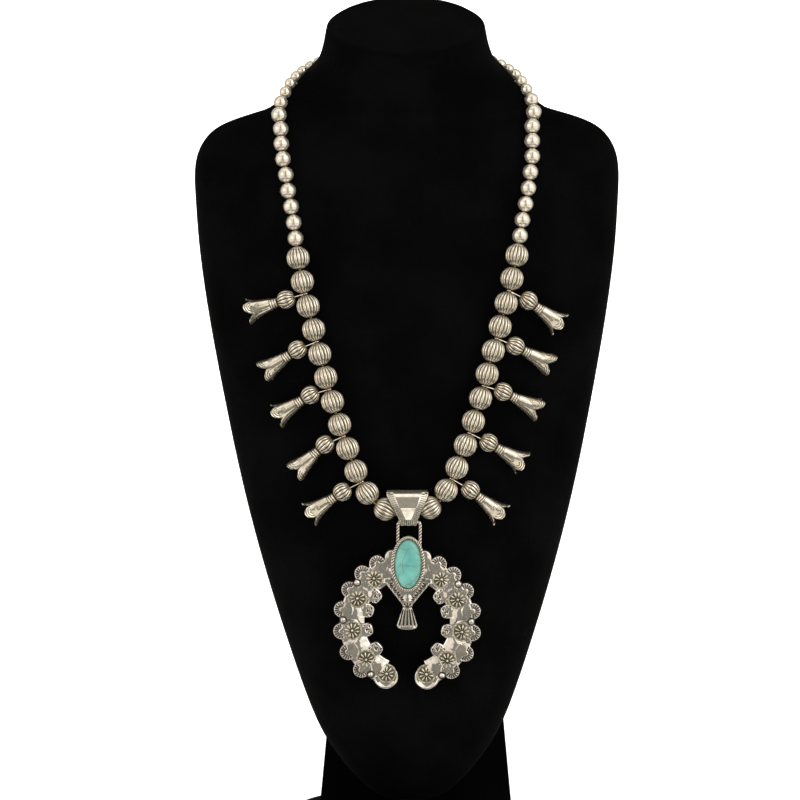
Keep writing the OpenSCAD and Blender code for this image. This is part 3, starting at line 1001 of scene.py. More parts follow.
@dataclass
class Blossoms:
    """The ten blossoms, each a fluted ball, a collar, a flower with four petals and a wire eye."""

    shop: Workshop
    string: BeadString
    count: int = 5
    ball_r: float = 4.7
    ball_flutes: int = 15
    flute_depth: float = 0.5
    reach: float = 20.6
    split: float = 0.55
    petals: int = 4
    petal_t: float = 0.5
    wire_r: float = 0.31
    eye_r: float = 1.07
    petal_r: Outline = ((8.3, 2.5), (9.5, 2.65), (12.5, 3.2), (15, 3.75), (16.5, 4.15), (18, 4.65),
                        (19.3, 5.25), (20, 5.65), (20.6, 6.1))
    arcs: tuple[float, ...] = (1.0, 2.2, 3.35)
    arc_line: tuple[float, float] = (0.42, 0.22)
    pole: tuple[float, float] = (0.15, 0.6)
    oxide: tuple[float, float] = (0.22, 0.58)
    stamp_depth: float = 0.14
    cup: float = 0.3
    collar_neck: float = 2.27
    rings: int = 3
    ring_step: float = 1.2
    ring_grow: float = 0.17

    def collar(self) -> bmesh.types.BMesh:
        """Turns the three rings between the ball and the flower."""
        start = self.ball_r - 0.5
        outline = [(0.0, start), (1.8, start)]
        for k in range(self.rings):
            z, grow = self.ball_r + 0.05 + k * self.ring_step, k * self.ring_grow
            outline += [(1.9 + grow, z), (2.35 + grow, z + 0.12), (2.55 + grow, z + 0.55),
                        (2.35 + grow, z + 0.98), (1.9 + grow, z + 1.1)]
        outline += [(2.3, self.ball_r + 3.75), (0.0, self.ball_r + 3.75)]
        bm = Shaper.lathe(outline, 36)
        mark = bm.verts.layers.float.new(RECESS)
        for vert in bm.verts:
            vert[mark] = 1.0 if polar_of(vert.co)[0] < self.collar_neck else 0.0
        return bm

    def ball(self) -> bmesh.types.BMesh:
        """Shapes the fluted ball."""
        bm = bmesh.new()
        bmesh.ops.create_uvsphere(bm, u_segments=self.ball_flutes * 6, v_segments=18, radius=1)
        layer = bm.verts.layers.float.new(RECESS)
        for vert in bm.verts:
            rho, turn = polar_of(vert.co)
            cut = flute(turn, self.ball_flutes) * smoothstep(*self.pole, rho)
            vert[layer] = smoothstep(*self.oxide, cut)
            vert.co = vert.co * (self.ball_r - self.flute_depth * cut)
        return bm

    def petal_point(self, u: float, v: float) -> Vector:
        """Places a point of the first petal's sheet.

        Args:
            u: From 0 to 1 across the petal.
            v: From 0 at the collar to 1 at the tip.

        Returns:
            The point in the blossom's frame.
        """
        height = lerp(self.petal_r[0][0], self.reach, v)
        r = along_table(self.petal_r, height)
        free = max(0.0, (v - self.split) / (1 - self.split))
        width = 1.0 if free == 0 else 0.985 * (1 - free ** 2.3) ** 0.6 + 0.004
        across = (2 * u - 1) * width
        turn = across * math.pi / self.petals
        cup = self.cup * free * (1 - across * across)
        return Vector(((r + cup) * math.cos(turn), (r + cup) * math.sin(turn), height))

    def flower(self) -> bmesh.types.BMesh:
        """Lays the four petals, joins them below their splits and gives them thickness."""
        parts = []
        for k in range(self.petals):
            sheet = Shaper.sheet(32, 56, self.petal_point)
            mark = sheet.verts.layers.float.new(RECESS)
            for vert in sheet.verts:
                vert[mark] = self.stamp(vert.co)
                vert.co -= self.stamp_depth * vert[mark] * Vector((vert.co.x, vert.co.y, 0)).normalized()
            parts.append(Shaper.moved(sheet, Matrix.Rotation(k * math.tau / self.petals, 4, "Z")))
        bm = Shaper.joined(parts)
        bmesh.ops.remove_doubles(bm, verts=bm.verts, dist=0.01)
        bmesh.ops.recalc_face_normals(bm, faces=bm.faces)
        bmesh.ops.solidify(bm, geom=bm.faces, thickness=self.petal_t)
        bmesh.ops.recalc_face_normals(bm, faces=bm.faces)
        return bm

    def stamp(self, p: Vector) -> float:
        """Returns the depth of the stamped marks on the first petal, from 0 to 1.

        Args:
            p: A point of the petal's sheet.

        Returns:
            The depth there.
        """
        side = math.atan2(p.y, p.x) * math.hypot(p.x, p.y)
        along = (p.z - self.reach) * 1.25 + 4.0
        off = math.hypot(side, along)
        arcs = max(smoothstep(*self.arc_line, abs(off - at)) for at in self.arcs)
        arcs *= smoothstep(-0.6, 0.2, along)
        base = math.hypot(side, p.z - 14.2)
        ring = math.exp(-(((base - 0.8) / 0.2) ** 2)) + math.exp(-((base / 0.25) ** 2))
        return min(1.0, arcs + ring)

    @staticmethod
    def middle_line(points: np.ndarray, axis: np.ndarray, rounds: int) -> np.ndarray:
        """Turns an axis until it joins the means of the two halves that it parts the points into.

        Args:
            points: The points.
            axis: The first guess.
            rounds: How many times the points are parted.

        Returns:
            The axis, one long.
        """
        for _ in range(rounds):
            along = points @ axis
            upper = along > np.median(along)
            axis = points[upper].mean(axis=0) - points[~upper].mean(axis=0)
            axis = axis / np.linalg.norm(axis)
        return axis

    def measure(self, name: str, hole: Vector) -> Matrix:
        """Finds the frame of a packed blossom from its corner points.

        Args:
            name: The CAD node.
            hole: Where the thread goes through its eye.

        Returns:
            The placement with the ball's centre as origin and the flower along Z.
        """
        points = self.shop.points(name)
        base = np.array(hole)
        body = points[np.linalg.norm(points - base, axis=1) > self.eye_r + 1.35]
        axis = long_axis(body)
        axis = self.middle_line(body, axis * np.sign((body.mean(axis=0) - base) @ axis), 12)
        along = body @ axis
        flower = body[along > along.max() - 14]
        axis = self.middle_line(flower, axis, 10)
        middle = flower.mean(axis=0)
        ball = Vector(middle + (((body - middle) @ axis).max() - self.reach) * axis)
        place = frame_at(ball, Vector(axis))
        local = [place.inverted() @ Vector(p) for p in points]
        tips = [p for p in local if p.z > self.reach - 2.4 and math.hypot(p.x, p.y) > 3]
        wave = sum(complex(math.cos(4 * a), math.sin(4 * a)) for a in (math.atan2(p.y, p.x) for p in tips))
        return place @ Matrix.Rotation(math.atan2(wave.imag, wave.real) / 4, 4, "Z")

    def build(self) -> None:
        """Makes the ten blossoms."""
        pattern = baked(Shaper.joined([self.flower(), self.ball(), self.collar()]), "blossom")
        for side in SIDES:
            beads = self.string.fluted[side]
            for i in range(1, self.count + 1):
                above, below = beads[2 * i - 1], beads[2 * i]
                hole = (above.place + below.place) / 2
                name = f"blossom_{side}_{i}"
                place = self.measure(name, hole)
                bm = Shaper.moved(opened(pattern), place)
                eye = self.eye(hole, above.place - below.place, place.translation)
                self.shop.finish(f"squash_{name}", Shaper.joined([bm, *eye]), "bead", Slot.BEAD,
                                 replaces=[name], smooth=55)
        bpy.data.meshes.remove(pattern)

    def eye(self, hole: Vector, run: Vector, ball: Vector) -> list[bmesh.types.BMesh]:
        """Bends the wire eye round the thread and runs its stem to the ball.

        Args:
            hole: The eye's centre.
            run: The thread's direction.
            ball: The ball's centre.

        Returns:
            The ring and the stem.
        """
        frames = []
        for i in range(25):
            turn = Matrix.Rotation(i * math.tau / 24, 4, "Z")
            frames.append(frame_at(hole, run) @ turn @ Matrix.Translation((self.eye_r, 0, 0))
                          @ Matrix.Rotation(-math.pi / 2, 4, "X"))
        ring = Shaper.sweep(circle(self.wire_r, 10), frames, closed=True)
        way = ball - hole
        start = hole + way.normalized() * self.eye_r
        stem = Shaper.sweep(circle(self.wire_r, 10),
                            [frame_at(lerp(start, ball, t), way) for t in (0, 0.3, 0.6, 0.8)],
                            closed=False)
        return [ring, stem]


@dataclass
class Hinge:
    """The crossbar that the pendant swings on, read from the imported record."""

    place: Vector
    axis: Vector

    @classmethod
    def read(cls, frame: dict) -> "Hinge":
        """Reads the pendant's joint."""
        joint = frame["joints"][0]
        return cls(Vector(joint["pos_m"]) / MM, Vector(joint["axis"]))


@dataclass
class Bail:
    """The bent strap over the string, with a rounded fold and stamped edges."""

    shop: Workshop
    hinge: Hinge
    thickness: float = 0.9
    fold_r: float = 5.7
    curl_r: float = 1.15
    fold_forward: float = 1.65
    top_w: float = 20.4
    low_w: float = 8.3
    corner_r: float = 1.5
    tick_every: float = 0.98
    tick_from: float = 0.4
    tick_to: float = 3.2
    tick_depth: float = 0.12
    side_slope: float = 0.2
    bow: float = 0.16
    fold_steps: int = 160
    curl_steps: int = 20
    run_steps: int = 90
    across_steps: int = 110
    mark_half: float = 0.27
    cut_half: float = 0.49
    heights: tuple[float, float] = (0.0, 0.0)

    def loop(self) -> list[Vector]:
        """Returns the strap's middle line, from the curl up its front, over and down its back.

        Returns:
            The points, with X left at zero.
        """
        count = self.run_steps
        low_z, high_z = self.heights
        top_r = self.fold_r + self.thickness / 2
        low_r = self.curl_r + self.thickness / 2
        top = Vector((0, self.hinge.place.y + self.fold_forward, high_z - self.fold_r - self.thickness))
        low = Vector((0, self.hinge.place.y, low_z + self.curl_r + self.thickness))
        way = top - low
        lean = math.atan2(way.z, way.y)
        half = math.acos((low_r - top_r) / way.length)
        points = []
        for i in range(self.fold_steps + 1):
            a = lean + half - 2 * half * i / self.fold_steps
            points.append(top + top_r * Vector((0, math.cos(a), math.sin(a))))
        rest = math.pi - half
        curl = []
        for i in range(self.curl_steps + 1):
            a = lean + math.pi + rest - 2 * rest * i / self.curl_steps
            curl.append(low + low_r * Vector((0, math.cos(a), math.sin(a))))
        front = [lerp(curl[-1], points[0], i / count)
                 - Vector((0, self.bow * math.sin(math.pi * i / count), 0)) for i in range(1, count)]
        back = [lerp(points[-1], curl[0], i / count) for i in range(1, count)]
        return curl + front + points + back + curl[:1]

    def build(self) -> None:
        """Lays the strap's sheet along its loop, stamps it and gives it thickness."""
        self.heights = tuple(p.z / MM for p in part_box("bail"))
        line = self.loop()
        steps = len(line) - 1

        def place(u: float, v: float) -> Vector:
            """Places a point of the sheet for its share along the loop and across it."""
            point = line[round(u * steps)]
            middle, half = self.width_at(point.z)
            return Vector((middle + (2 * v - 1) * half, point.y, point.z))

        bm = Shaper.sheet(steps, self.across_steps, place)
        bmesh.ops.remove_doubles(bm, verts=bm.verts, dist=1e-3)
        bmesh.ops.recalc_face_normals(bm, faces=bm.faces)
        mark = bm.verts.layers.float.new(RECESS)
        front = self.hinge.place.y + self.fold_forward
        low_z, high_z = self.heights
        bm.normal_update()
        for vert in bm.verts:
            if vert.co.y > front - 1.0 or vert.co.z > high_z - 1.2:
                continue
            middle, half = self.width_at(vert.co.z)
            edge = half - abs(vert.co.x - middle)
            above = vert.co.z - low_z - 0.5
            along, inwards = vert.co.z + 0.3 * edge, edge
            if above < self.tick_to and edge > 0.7 * above + 0.3:
                along, inwards = vert.co.x - middle + 0.5 * self.tick_every, above
            vert[mark] = self.tick(along, inwards, self.mark_half)
            fall = self.side_slope * max(0.0, self.tick_to + 0.2 - edge)
            sink = self.tick_depth * self.tick(along, inwards, self.cut_half)
            vert.co -= (sink + fall) * vert.normal
        bmesh.ops.solidify(bm, geom=bm.faces, thickness=self.thickness)
        bmesh.ops.recalc_face_normals(bm, faces=bm.faces)
        self.fit_height(bm)
        self.shop.finish("folded_bail", bm, "stamped", Slot.POLISHED, replaces=["bail"], smooth=50)

    def width_at(self, z: float) -> tuple[float, float]:
        """Returns the strap's middle and half its width at a height."""
        low_z, high_z = self.heights
        share = min(1.0, max(0.0, (z - low_z - 2.2) / (high_z - low_z - 3.8)))
        half = lerp(self.low_w, self.top_w, share) / 2 - 0.5 * smoothstep(high_z - 2, high_z, z) ** 2
        under = min(1.0, max(0.0, 1 - (z - low_z) / self.corner_r))
        return lerp(self.hinge.place.x, 0, share), half - self.corner_r * (1 - math.sqrt(1 - under * under))

    def fit_height(self, bm: bmesh.types.BMesh) -> None:
        """Stretches the strap's height to the CAD strap's."""
        low_z, high_z = self.heights
        top = max(vert.co.z for vert in bm.verts)
        low = min(vert.co.z for vert in bm.verts)
        for vert in bm.verts:
            vert.co.z = low_z + (vert.co.z - low) * (high_z - low_z) / (top - low)

    def tick(self, along: float, edge: float, half: float) -> float:
        """Returns the depth of the stamped ticks near an edge.

        Args:
            along: The distance along the edge.
            edge: The distance in from the edge.
            half: Half the width of a tick.

        Returns:
            The depth from 0 to 1.
        """
        phase = (along / self.tick_every) % 1 - 0.5
        line = smoothstep(half, 0.35 * half, abs(phase * self.tick_every))
        return (line * smoothstep(self.tick_from - 0.15, self.tick_from + 0.15, edge)
                * (1 - smoothstep(self.tick_to - 0.4, self.tick_to, edge)))


@dataclass
class Naja:
    """The crescent pendant, drawn from the front about the centre of its crescent."""

    shop: Workshop
    hinge: Hinge
    drop: float = 49.4
    plate_back: float = 1.5
    plate_t: float = 2.0
    inner_r: float = 20.8
    outer_r: float = 33.2
    ring_r: float = 27.2
    scallop_at: float = 32.5
    scallop_r: float = 4.1
    lobe_at: float = 19.9
    lobe_r: float = 2.9
    end_at: float = 28.9
    end_angle: float = 20.4
    end_r: float = 6.0
    shoulder_at: float = 33.4
    shoulder_angle: float = 166.0
    shoulder_r: float = 3.4
    stone_up: float = 29.0
    stone_w: float = 12.5
    stone_h: float = 23.3
    bezel_w: float = 1.3
    wire_r: float = 0.85
    leg_x: float = 5.45
    leg_len: float = 13.5
    loop_shift: float = 0.3
    rosettes: tuple[float, ...] = (21, 47, 81, 115.5, 142.5)
    scallops: tuple[float, ...] = (43, 62.5, 81.5, 100.5, 119, 137, 152.5)
    lobes: tuple[float, ...] = (48.5, 78.5, 105.7, 128.5)
    studs: tuple[float, ...] = (34, 91.5, 128)
    pillows: tuple[float, ...] = (34, 64, 98, 129, 157)
    tab_half: float = 3.3
    crown: tuple[float, float, float] = (0.7, 27.0, 7.4)
    pillow: tuple[float, float, float, float] = (0.75, 3.8, 26.6, 4.6)
    hammer_h: float = 0.3
    hammer_scale: float = 0.24
    dome_h: float = 1.5
    dome_back: float = 3.0
    dome_r: float = 7.9
    ray_step: float = 22.5
    ray_last: float = 106.0
    ray_depth: float = 0.3
    tab_h: float = 0.75
    tab_cut: float = 0.4
    stud_at: float = 31.4
    stud_h: float = 1.75
    stud_r: float = 1.4
    round_r: float = 0.8
    round_drop: float = 0.3
    rope_r: float = 0.82
    rope_turns: int = 56
    rope_steps: int = 6
    rope_deep: float = 0.72
    fan_top: float = 7.4
    star_top: float = 10.6
    star_at: float = 7.2
    star_spikes: int = 9
    leaf_period: float = 2.9
    leaf_row: float = 2.1
    knob_at: float = 11.9
    knob_r: float = 2.2
    plate_span: tuple[float, float] = (-3.68, 21.9)
    plate_outline: Outline = ((-3.7, 0.0), (-3.5, 2.8), (-2.9, 4.5), (-1.6, 5.2), (7.4, 2.35), (8.6, 2.6),
                              (17.6, 9.8), (22, 12.5))
    marks: tuple[tuple[float, float, float, float], ...] = (
        (1.55, -1.6, 0.8, 0.7), (1.3, 1.5, 0.55, 1.1), (-0.4, 0.0, 0.5, 1.5), (0.5, 0.0, 1.2, 0.4))

    def stood(self) -> Matrix:
        """Returns the placement that stands the drawing up under its crossbar."""
        lean = math.atan2(self.hinge.axis.z, -self.hinge.axis.x)
        return (Matrix.Translation(self.hinge.place + Vector((0, self.plate_back, 0)))
                @ Matrix.Rotation(lean, 4, "Y") @ Matrix.Rotation(math.pi / 2, 4, "X")
                @ Matrix.Translation((0, -self.drop, 0)))

    @staticmethod
    def polar(r: float, angle: float, side: int) -> Vector:
        """Returns the point at a radius and an angle up from the bottom, on one side."""
        a = math.radians(angle)
        return Vector((side * r * math.sin(a), -r * math.cos(a), 0))

    @staticmethod
    def reach_of(at: float, radius: float, turn: float, sign: int) -> float | None:
        """Finds where a ray from the crescent's centre leaves a round lobe.

        Args:
            at: The lobe's distance from the centre.
            radius: The lobe's radius.
            turn: Degrees from the ray to the lobe's centre.
            sign: 1 for the far side, -1 for the near one.

        Returns:
            The distance, or None where the ray misses.
        """
        t = math.radians(turn)
        under = radius * radius - (at * math.sin(t)) ** 2
        if under < 0 or abs(turn) > 90:
            return None
        return at * math.cos(t) + sign * math.sqrt(under)

    def edges_at(self, angle: float) -> tuple[float, float]:
        """Returns the inner and outer radius of the crescent at an angle."""
        outer, inner = [self.outer_r], [self.inner_r]
        for a in self.scallops:
            outer.append(self.reach_of(self.scallop_at, self.scallop_r, angle - a, 1) or 0)
        outer.append(self.reach_of(self.shoulder_at, self.shoulder_r, angle - self.shoulder_angle, 1) or 0)
        for a in self.lobes:
            across = abs(self.lobe_at * math.sin(math.radians(angle - a))) / self.tab_half
            if across < 1 and abs(angle - a) < 30:
                inner.append(self.lobe_at - self.lobe_r * (1 - across ** 3) ** 0.42)
        return min(inner), max(outer)

    def relief(self, r: float, angle: float) -> tuple[float, float]:
        """Works out the height and the oxide of the crescent's face.

        Args:
            r: Distance from the crescent's centre.
            angle: Degrees up from the bottom.

        Returns:
            The height over the plate and the depth of recess from 0 to 1.
        """
        inner, outer = self.edges_at(angle)
        a = math.radians(angle)
        x, y = r * math.sin(a), -r * math.cos(a)
        crown_h, crown_at, crown_half = self.crown
        height = crown_h * max(0.0, 1 - ((r - crown_at) / crown_half) ** 2)
        pillow_h, pillow_along, pillow_at, pillow_across = self.pillow
        for at in self.pillows:
            near = (math.radians(angle - at) * r / pillow_along) ** 4 + ((r - pillow_at) / pillow_across) ** 4
            height += pillow_h * math.exp(-near)
        height += self.hammer_h * noise.noise(Vector((self.hammer_scale * x, self.hammer_scale * y, 0.0)))
        recess = 0.0
        for at in self.scallops:
            outward, across = self.local(x, y, self.scallop_at, at)
            d = math.hypot(outward, across)
            beta = math.degrees(math.atan2(across, outward))
            if d > self.scallop_r + 1.2:
                continue
            slope = math.hypot(outward + self.dome_back, across) / self.dome_r
            height = soft_max(height, self.dome_h * arch(slope))
            if abs(beta) > self.ray_last:
                continue
            arc = abs((beta / self.ray_step + 0.5) % 1 - 0.5) * math.radians(self.ray_step) * d
            width = lerp(0.26, 0.6, (d - 1.2) / 2.4)
            cut = smoothstep(width, 0.65 * width, arc) * smoothstep(1.15, 1.4, d)
            cut *= 1 - smoothstep(3.45, 3.7, d)
            height -= self.ray_depth * cut
            recess = max(recess, cut)
        for at in self.lobes:
            outward, across = self.local(x, y, self.lobe_at, at)
            inward = -outward
            if abs(across) > 3.6 or abs(inward) > 6:
                continue
            tab = smoothstep(3.4, 2.7, abs(across)) * smoothstep(-4.5, -2.5, inward)
            height = soft_max(height, self.tab_h * tab)
            cut = 0.0
            for at_in, at_across, deep, wide in self.marks:
                reach = abs(inward - at_in) / deep + abs(across - at_across) / wide
                cut = max(cut, smoothstep(1.15, 0.75, reach))
            dash = smoothstep(0.36, 0.2, abs((inward / 1.7) % 1 - 0.5))
            row = smoothstep(0.45, 0.25, abs(across - 2.3)) * smoothstep(-5.0, -4.6, inward)
            cut = max(cut, dash * row * (1 - smoothstep(0.2, 0.6, inward)))
            height -= self.tab_cut * cut
            recess = max(recess, cut)
        for at in self.studs:
            centre = self.polar(self.stud_at, at, 1)
            d = math.hypot(x - centre.x, y - centre.y)
            height = max(height, self.stud_h * arch(d / self.stud_r))
            recess = max(recess, smoothstep(0.5, 0.25, abs(d - 1.65)))
        shoulder = self.polar(self.shoulder_at - 0.8, self.shoulder_angle - 1, 1)
        d = math.hypot(x - shoulder.x, y - shoulder.y)
        height = soft_max(height, 1.9 * arch(d / 5.2), 0.8)
        edge = min(r - inner, outer - r)
        round_over = arch(1 - min(1.0, edge / self.round_r))
        return (height + self.round_drop) * round_over - self.round_drop, recess

    @staticmethod
    def local(x: float, y: float, at: float, angle: float) -> tuple[float, float]:
        """Returns how far a point lies outwards of and across from a place on the crescent."""
        c = math.radians(angle)
        dx, dy = x - at * math.sin(c), y + at * math.cos(c)
        return dx * math.sin(c) - dy * math.cos(c), dx * math.cos(c) + dy * math.sin(c)

    def half_crescent(self, side: int, columns: int = 450, rows: int = 80) -> bmesh.types.BMesh:
        """Lays one half of the crescent's face and closes it with walls and a back.

        Args:
            side: 1 for the right half, -1 for the left.
            columns: Faces along the crescent.
            rows: Faces across it.

        Returns:
            The half in the drawing's frame.
        """
        def face(u: float, v: float) -> tuple[Vector, float]:
            """Places a point for its share along the crescent and across it."""
            angle = lerp(24.0, 180.0, u)
            inner, outer = self.edges_at(angle)
            r = lerp(inner, outer, v)
            height, recess = self.relief(r, angle)
            return self.polar(r, angle, side) + Vector((0, 0, self.plate_t + height)), recess

        return Shaper.slab(columns, rows, face)

    def rosette(self) -> list[bmesh.types.BMesh]:
        """Builds one rosette: a dished seat, ten drop petals, a centre ball and a beaded rim."""
        seat = Shaper.lathe([(0, 0.2), (4.3, 0.1), (4.75, 0.3), (4.85, 0.65), (4.6, 0.95), (4.2, 0.85),
                             (3.7, 0.8), (3.0, 0.95), (1.6, 1.15), (0, 1.25)], 48)
        mark = seat.verts.layers.float.new(RECESS)
        for vert in seat.verts:
            vert[mark] = 0.35 + 0.55 * smoothstep(4.4, 3.6, math.hypot(vert.co.x, vert.co.y))
        parts = [seat]
        for k in range(10):
            turn = Matrix.Rotation(k * math.tau / 10, 4, "Z")
            bm = Shaper.ball((1.4, 0.58, 0.75), Matrix.Identity(4), 14, 10)
            for vert in bm.verts:
                vert.co.y *= 0.7 + 0.36 * vert.co.x / 1.4
            place = turn @ Matrix.Translation((2.35, 0, 1.12)) @ Matrix.Rotation(math.radians(7), 4, "Y")
            parts.append(Shaper.moved(bm, place))
            gap = Matrix.Rotation((k + 0.5) * math.tau / 10, 4, "Z")
            parts.append(Shaper.ball((0.3, 0.5, 0.3), gap @ Matrix.Translation((4.3, 0, 0.9)), 10, 6))
        parts.append(Shaper.ball((0.72, 0.72, 0.8), Matrix.Translation((0, 0, 1.45)), 18, 12))
        return parts

    def end_disc(self) -> bmesh.types.BMesh:
        """Turns the round end plate with its raised rim."""
        r = self.end_r
        outline = [(0, 0), (r - 0.25, 0), (r, 0.3), (r, self.plate_t + 0.3), (r - 0.2, self.plate_t + 0.75),
                   (r - 0.6, self.plate_t + 0.85), (r - 0.95, self.plate_t + 0.6),
                   (r - 1.25, self.plate_t + 0.2), (r - 2, self.plate_t), (0, self.plate_t)]
        return Shaper.lathe(outline, 72)

    def hang(self, name: str, bm: bmesh.types.BMesh, material: str, slot: Slot = Slot.CAST,
             replaces: Sequence[str] = (), smooth: float = 40.0) -> None:
        """Stands a drawn shape up and finishes it as a piece of the pendant.

        Args:
            name: The piece's name.
            bm: The shape in the drawing's frame. It is freed.
            material: The key of its material.
            slot: The record's slot of that finish.
            replaces: The CAD nodes that it stands for.
            smooth: Edges that bend less than this many degrees are shaded smooth.
        """
        self.shop.finish(name, Shaper.moved(bm, self.stood()), material, slot, "pendant", replaces, smooth)

    def build(self) -> None:
        """Makes the pendant's pieces."""
        halves = Shaper.joined([self.half_crescent(side) for side in (1, -1)])
        bmesh.ops.remove_doubles(halves, verts=halves.verts, dist=1e-3)
        ends = [Shaper.moved(self.end_disc(), Matrix.Translation(self.polar(self.end_at, self.end_angle, s)))
                for s in (1, -1)]
        self.hang("naja_crescent", Shaper.joined([halves, *ends]), "cast", replaces=["naja"], smooth=62)
        flowers = []
        for angle in self.rosettes:
            for side in (1, -1):
                seat = self.plate_t + (0.0 if angle < 30 else 0.35)
                at = Matrix.Translation(self.polar(self.ring_r, angle, side) + Vector((0, 0, seat)))
                turn = Matrix.Rotation(math.radians(side * angle), 4, "Z")
                flowers += [Shaper.moved(part, at @ turn) for part in self.rosette()]
        self.hang("naja_rosettes", Shaper.joined(flowers), "pewter")
        self.build_bezel()
        self.build_plate()
        self.build_loop()
        self.build_stone()

    def oval(self, grow: float, t: float) -> Vector:
        """Returns the point at a share t round the stone's oval, grown outwards."""
        a = t * math.tau
        return Vector(((self.stone_w / 2 + grow) * math.cos(a),
                       self.stone_up + (self.stone_h / 2 + grow) * math.sin(a), 0))

    def rope(self, grow: float, height: float) -> bmesh.types.BMesh:
        """Lays a twisted rope round the oval.

        Args:
            grow: How far outside the stone it runs.
            height: Its height over the drawing's plane.

        Returns:
            The rope in the drawing's frame.
        """
        steps = self.rope_turns * self.rope_steps
        frames = []
        for i in range(steps + 1):
            here = self.oval(grow, i / steps)
            ahead = self.oval(grow, (i + 1) / steps)
            place = frame_at(here + Vector((0, 0, height)), ahead - here)
            frames.append(place @ Matrix.Rotation(math.pi * self.rope_turns * i / steps, 4, "Z"))
        return Shaper.sweep(rope_ring(2, self.rope_r, 20), frames, closed=True, deep=self.rope_deep)

    def build_bezel(self) -> None:
        """Makes the seat of the stone: a wall with a twisted rope round it."""
        top = self.plate_t + 2.3
        wall = [(self.bezel_w + 0.55, 0.3), (self.bezel_w + 0.55, self.plate_t + 0.9),
                (self.bezel_w - 0.3, self.plate_t + 1.1), (0.5, top - 0.9),
                (0.34, top), (0.12, top - 0.1), (0.12, 0.3)]
        bm = Shaper.lathe([(100 + grow, z) for grow, z in wall] + [(100 + wall[0][0], wall[0][1])], 120)
        for vert in bm.verts:
            rho, turn = polar_of(vert.co)
            at = self.oval(rho - 100, turn / math.tau)
            vert.co = (at.x, at.y, vert.co.z)
        parts = [bm, self.rope(self.bezel_w, self.plate_t + 1.75)]
        self.hang("naja_bezel", Shaper.joined(parts), "stamped")

    def plate_edge(self, y: float) -> float:
        """Returns half the width of the plate at a height."""
        return along_table(self.plate_outline, y)

    def plate_relief(self, x: float, y: float) -> tuple[float, float]:
        """Works out the height and the oxide of the plate below the stone.

        Args:
            x: Distance from the middle.
            y: Height from the crescent's centre.

        Returns:
            The height over the plate and the depth of recess from 0 to 1.
        """
        half = self.plate_edge(y)
        edge = half - abs(x)
        cut, height = 0.0, 0.45
        if y < self.fan_top:
            share = x / max(half, 0.1)
            flute = abs((share / 0.37 + 0.5) % 1 - 0.5)
            low = smoothstep(-2.4, -1.2, y) * (1 - smoothstep(5.6, 6.9, y))
            cut = smoothstep(0.34, 0.16, flute) * low * (1 - smoothstep(0.86, 0.95, abs(share)))
            height = 1.25 - 0.55 * cut - 0.55 * share * share - 0.25 * smoothstep(1.5, -3.5, y)
        elif y < self.star_top:
            d = math.hypot(x, y - self.star_at)
            turn = math.degrees(math.atan2(x, y - self.star_at))
            spikes = 0.5 + 0.5 * math.cos(math.radians(turn * self.star_spikes))
            cut = smoothstep(0.3, 0.7, spikes) * smoothstep(1.1, 1.4, d) * (1 - smoothstep(2.5, 2.9, d))
            cut = max(cut, smoothstep(0.45, 0.25, abs(d - 0.8)) * smoothstep(-0.2, 0.1, y - 7.4))
            height = 0.85 - 0.4 * cut
        else:
            along = (y - 8.6) / 0.78
            phase = (along % self.leaf_period) / self.leaf_period
            slant = abs(edge - self.leaf_row) * 0.5
            chevron = smoothstep(0.5, 0.25, abs((phase - 0.5) * self.leaf_period - slant))
            leaf = smoothstep(0.8, 0.45, math.hypot((phase - 0.12) * 2.4, (edge - self.leaf_row) * 0.6))
            cut = max(chevron, leaf) * smoothstep(0.75, 1.05, edge) * (1 - smoothstep(3.4, 3.9, edge))
            height = 0.6 - 0.42 * cut
        dome = math.hypot(x, y - self.knob_at)
        if dome < 2.3:
            height = soft_max(height, 1.05 * arch(dome / self.knob_r))
            cut *= smoothstep(1.7, 2.2, dome)
        round_over = arch(1 - min(1.0, edge / 0.5))
        return (height + 0.2) * round_over - 0.2, cut

    def build_plate(self) -> None:
        """Makes the chased plate and the fluted fan below the stone."""
        def face(u: float, v: float) -> tuple[Vector, float]:
            """Places a point for its share across the plate and up it."""
            y = lerp(*self.plate_span, v)
            x = (2 * u - 1) * self.plate_edge(y)
            height, cut = self.plate_relief(x, y)
            return Vector((x, y, self.plate_t + height)), cut

        self.hang("naja_plate", Shaper.slab(90, 190, face), "cast", smooth=62)

    def build_loop(self) -> None:
        """Bends the twisted wire loop: up one leg, over the crossbar and down the other."""
        path = []
        bend = 1.3
        top = self.drop
        for i in range(40):
            path.append(Vector((-self.leg_x, lerp(top - self.leg_len, top - bend, i / 39), 0)))
        for i in range(1, 8):
            a = math.radians(180 - i * 90 / 8)
            path.append(Vector((-self.leg_x + bend + bend * math.cos(a), top - bend + bend * math.sin(a), 0)))
        for i in range(14):
            path.append(Vector((lerp(-self.leg_x + bend, 0, i / 14), top, 0)))
        path += [Vector((-p.x, p.y, 0)) for p in reversed(path)]
        path = [p for i, p in enumerate(path) if i == 0 or (p - path[i - 1]).length > 1e-4]
        frames = []
        run = 0.0
        for i, point in enumerate(path):
            ahead = path[min(len(path) - 1, i + 1)] - path[max(0, i - 1)]
            if i:
                run += (point - path[i - 1]).length
            place = frame_at(point + Vector((self.loop_shift, 0, self.plate_back)), ahead)
            frames.append(place @ Matrix.Rotation(run * math.pi / 1.6, 4, "Z"))
        bm = Shaper.sweep(rope_ring(2, self.wire_r, 20), frames, closed=False, deep=self.rope_deep)
        self.hang("naja_loop", bm, "stamped", smooth=70)

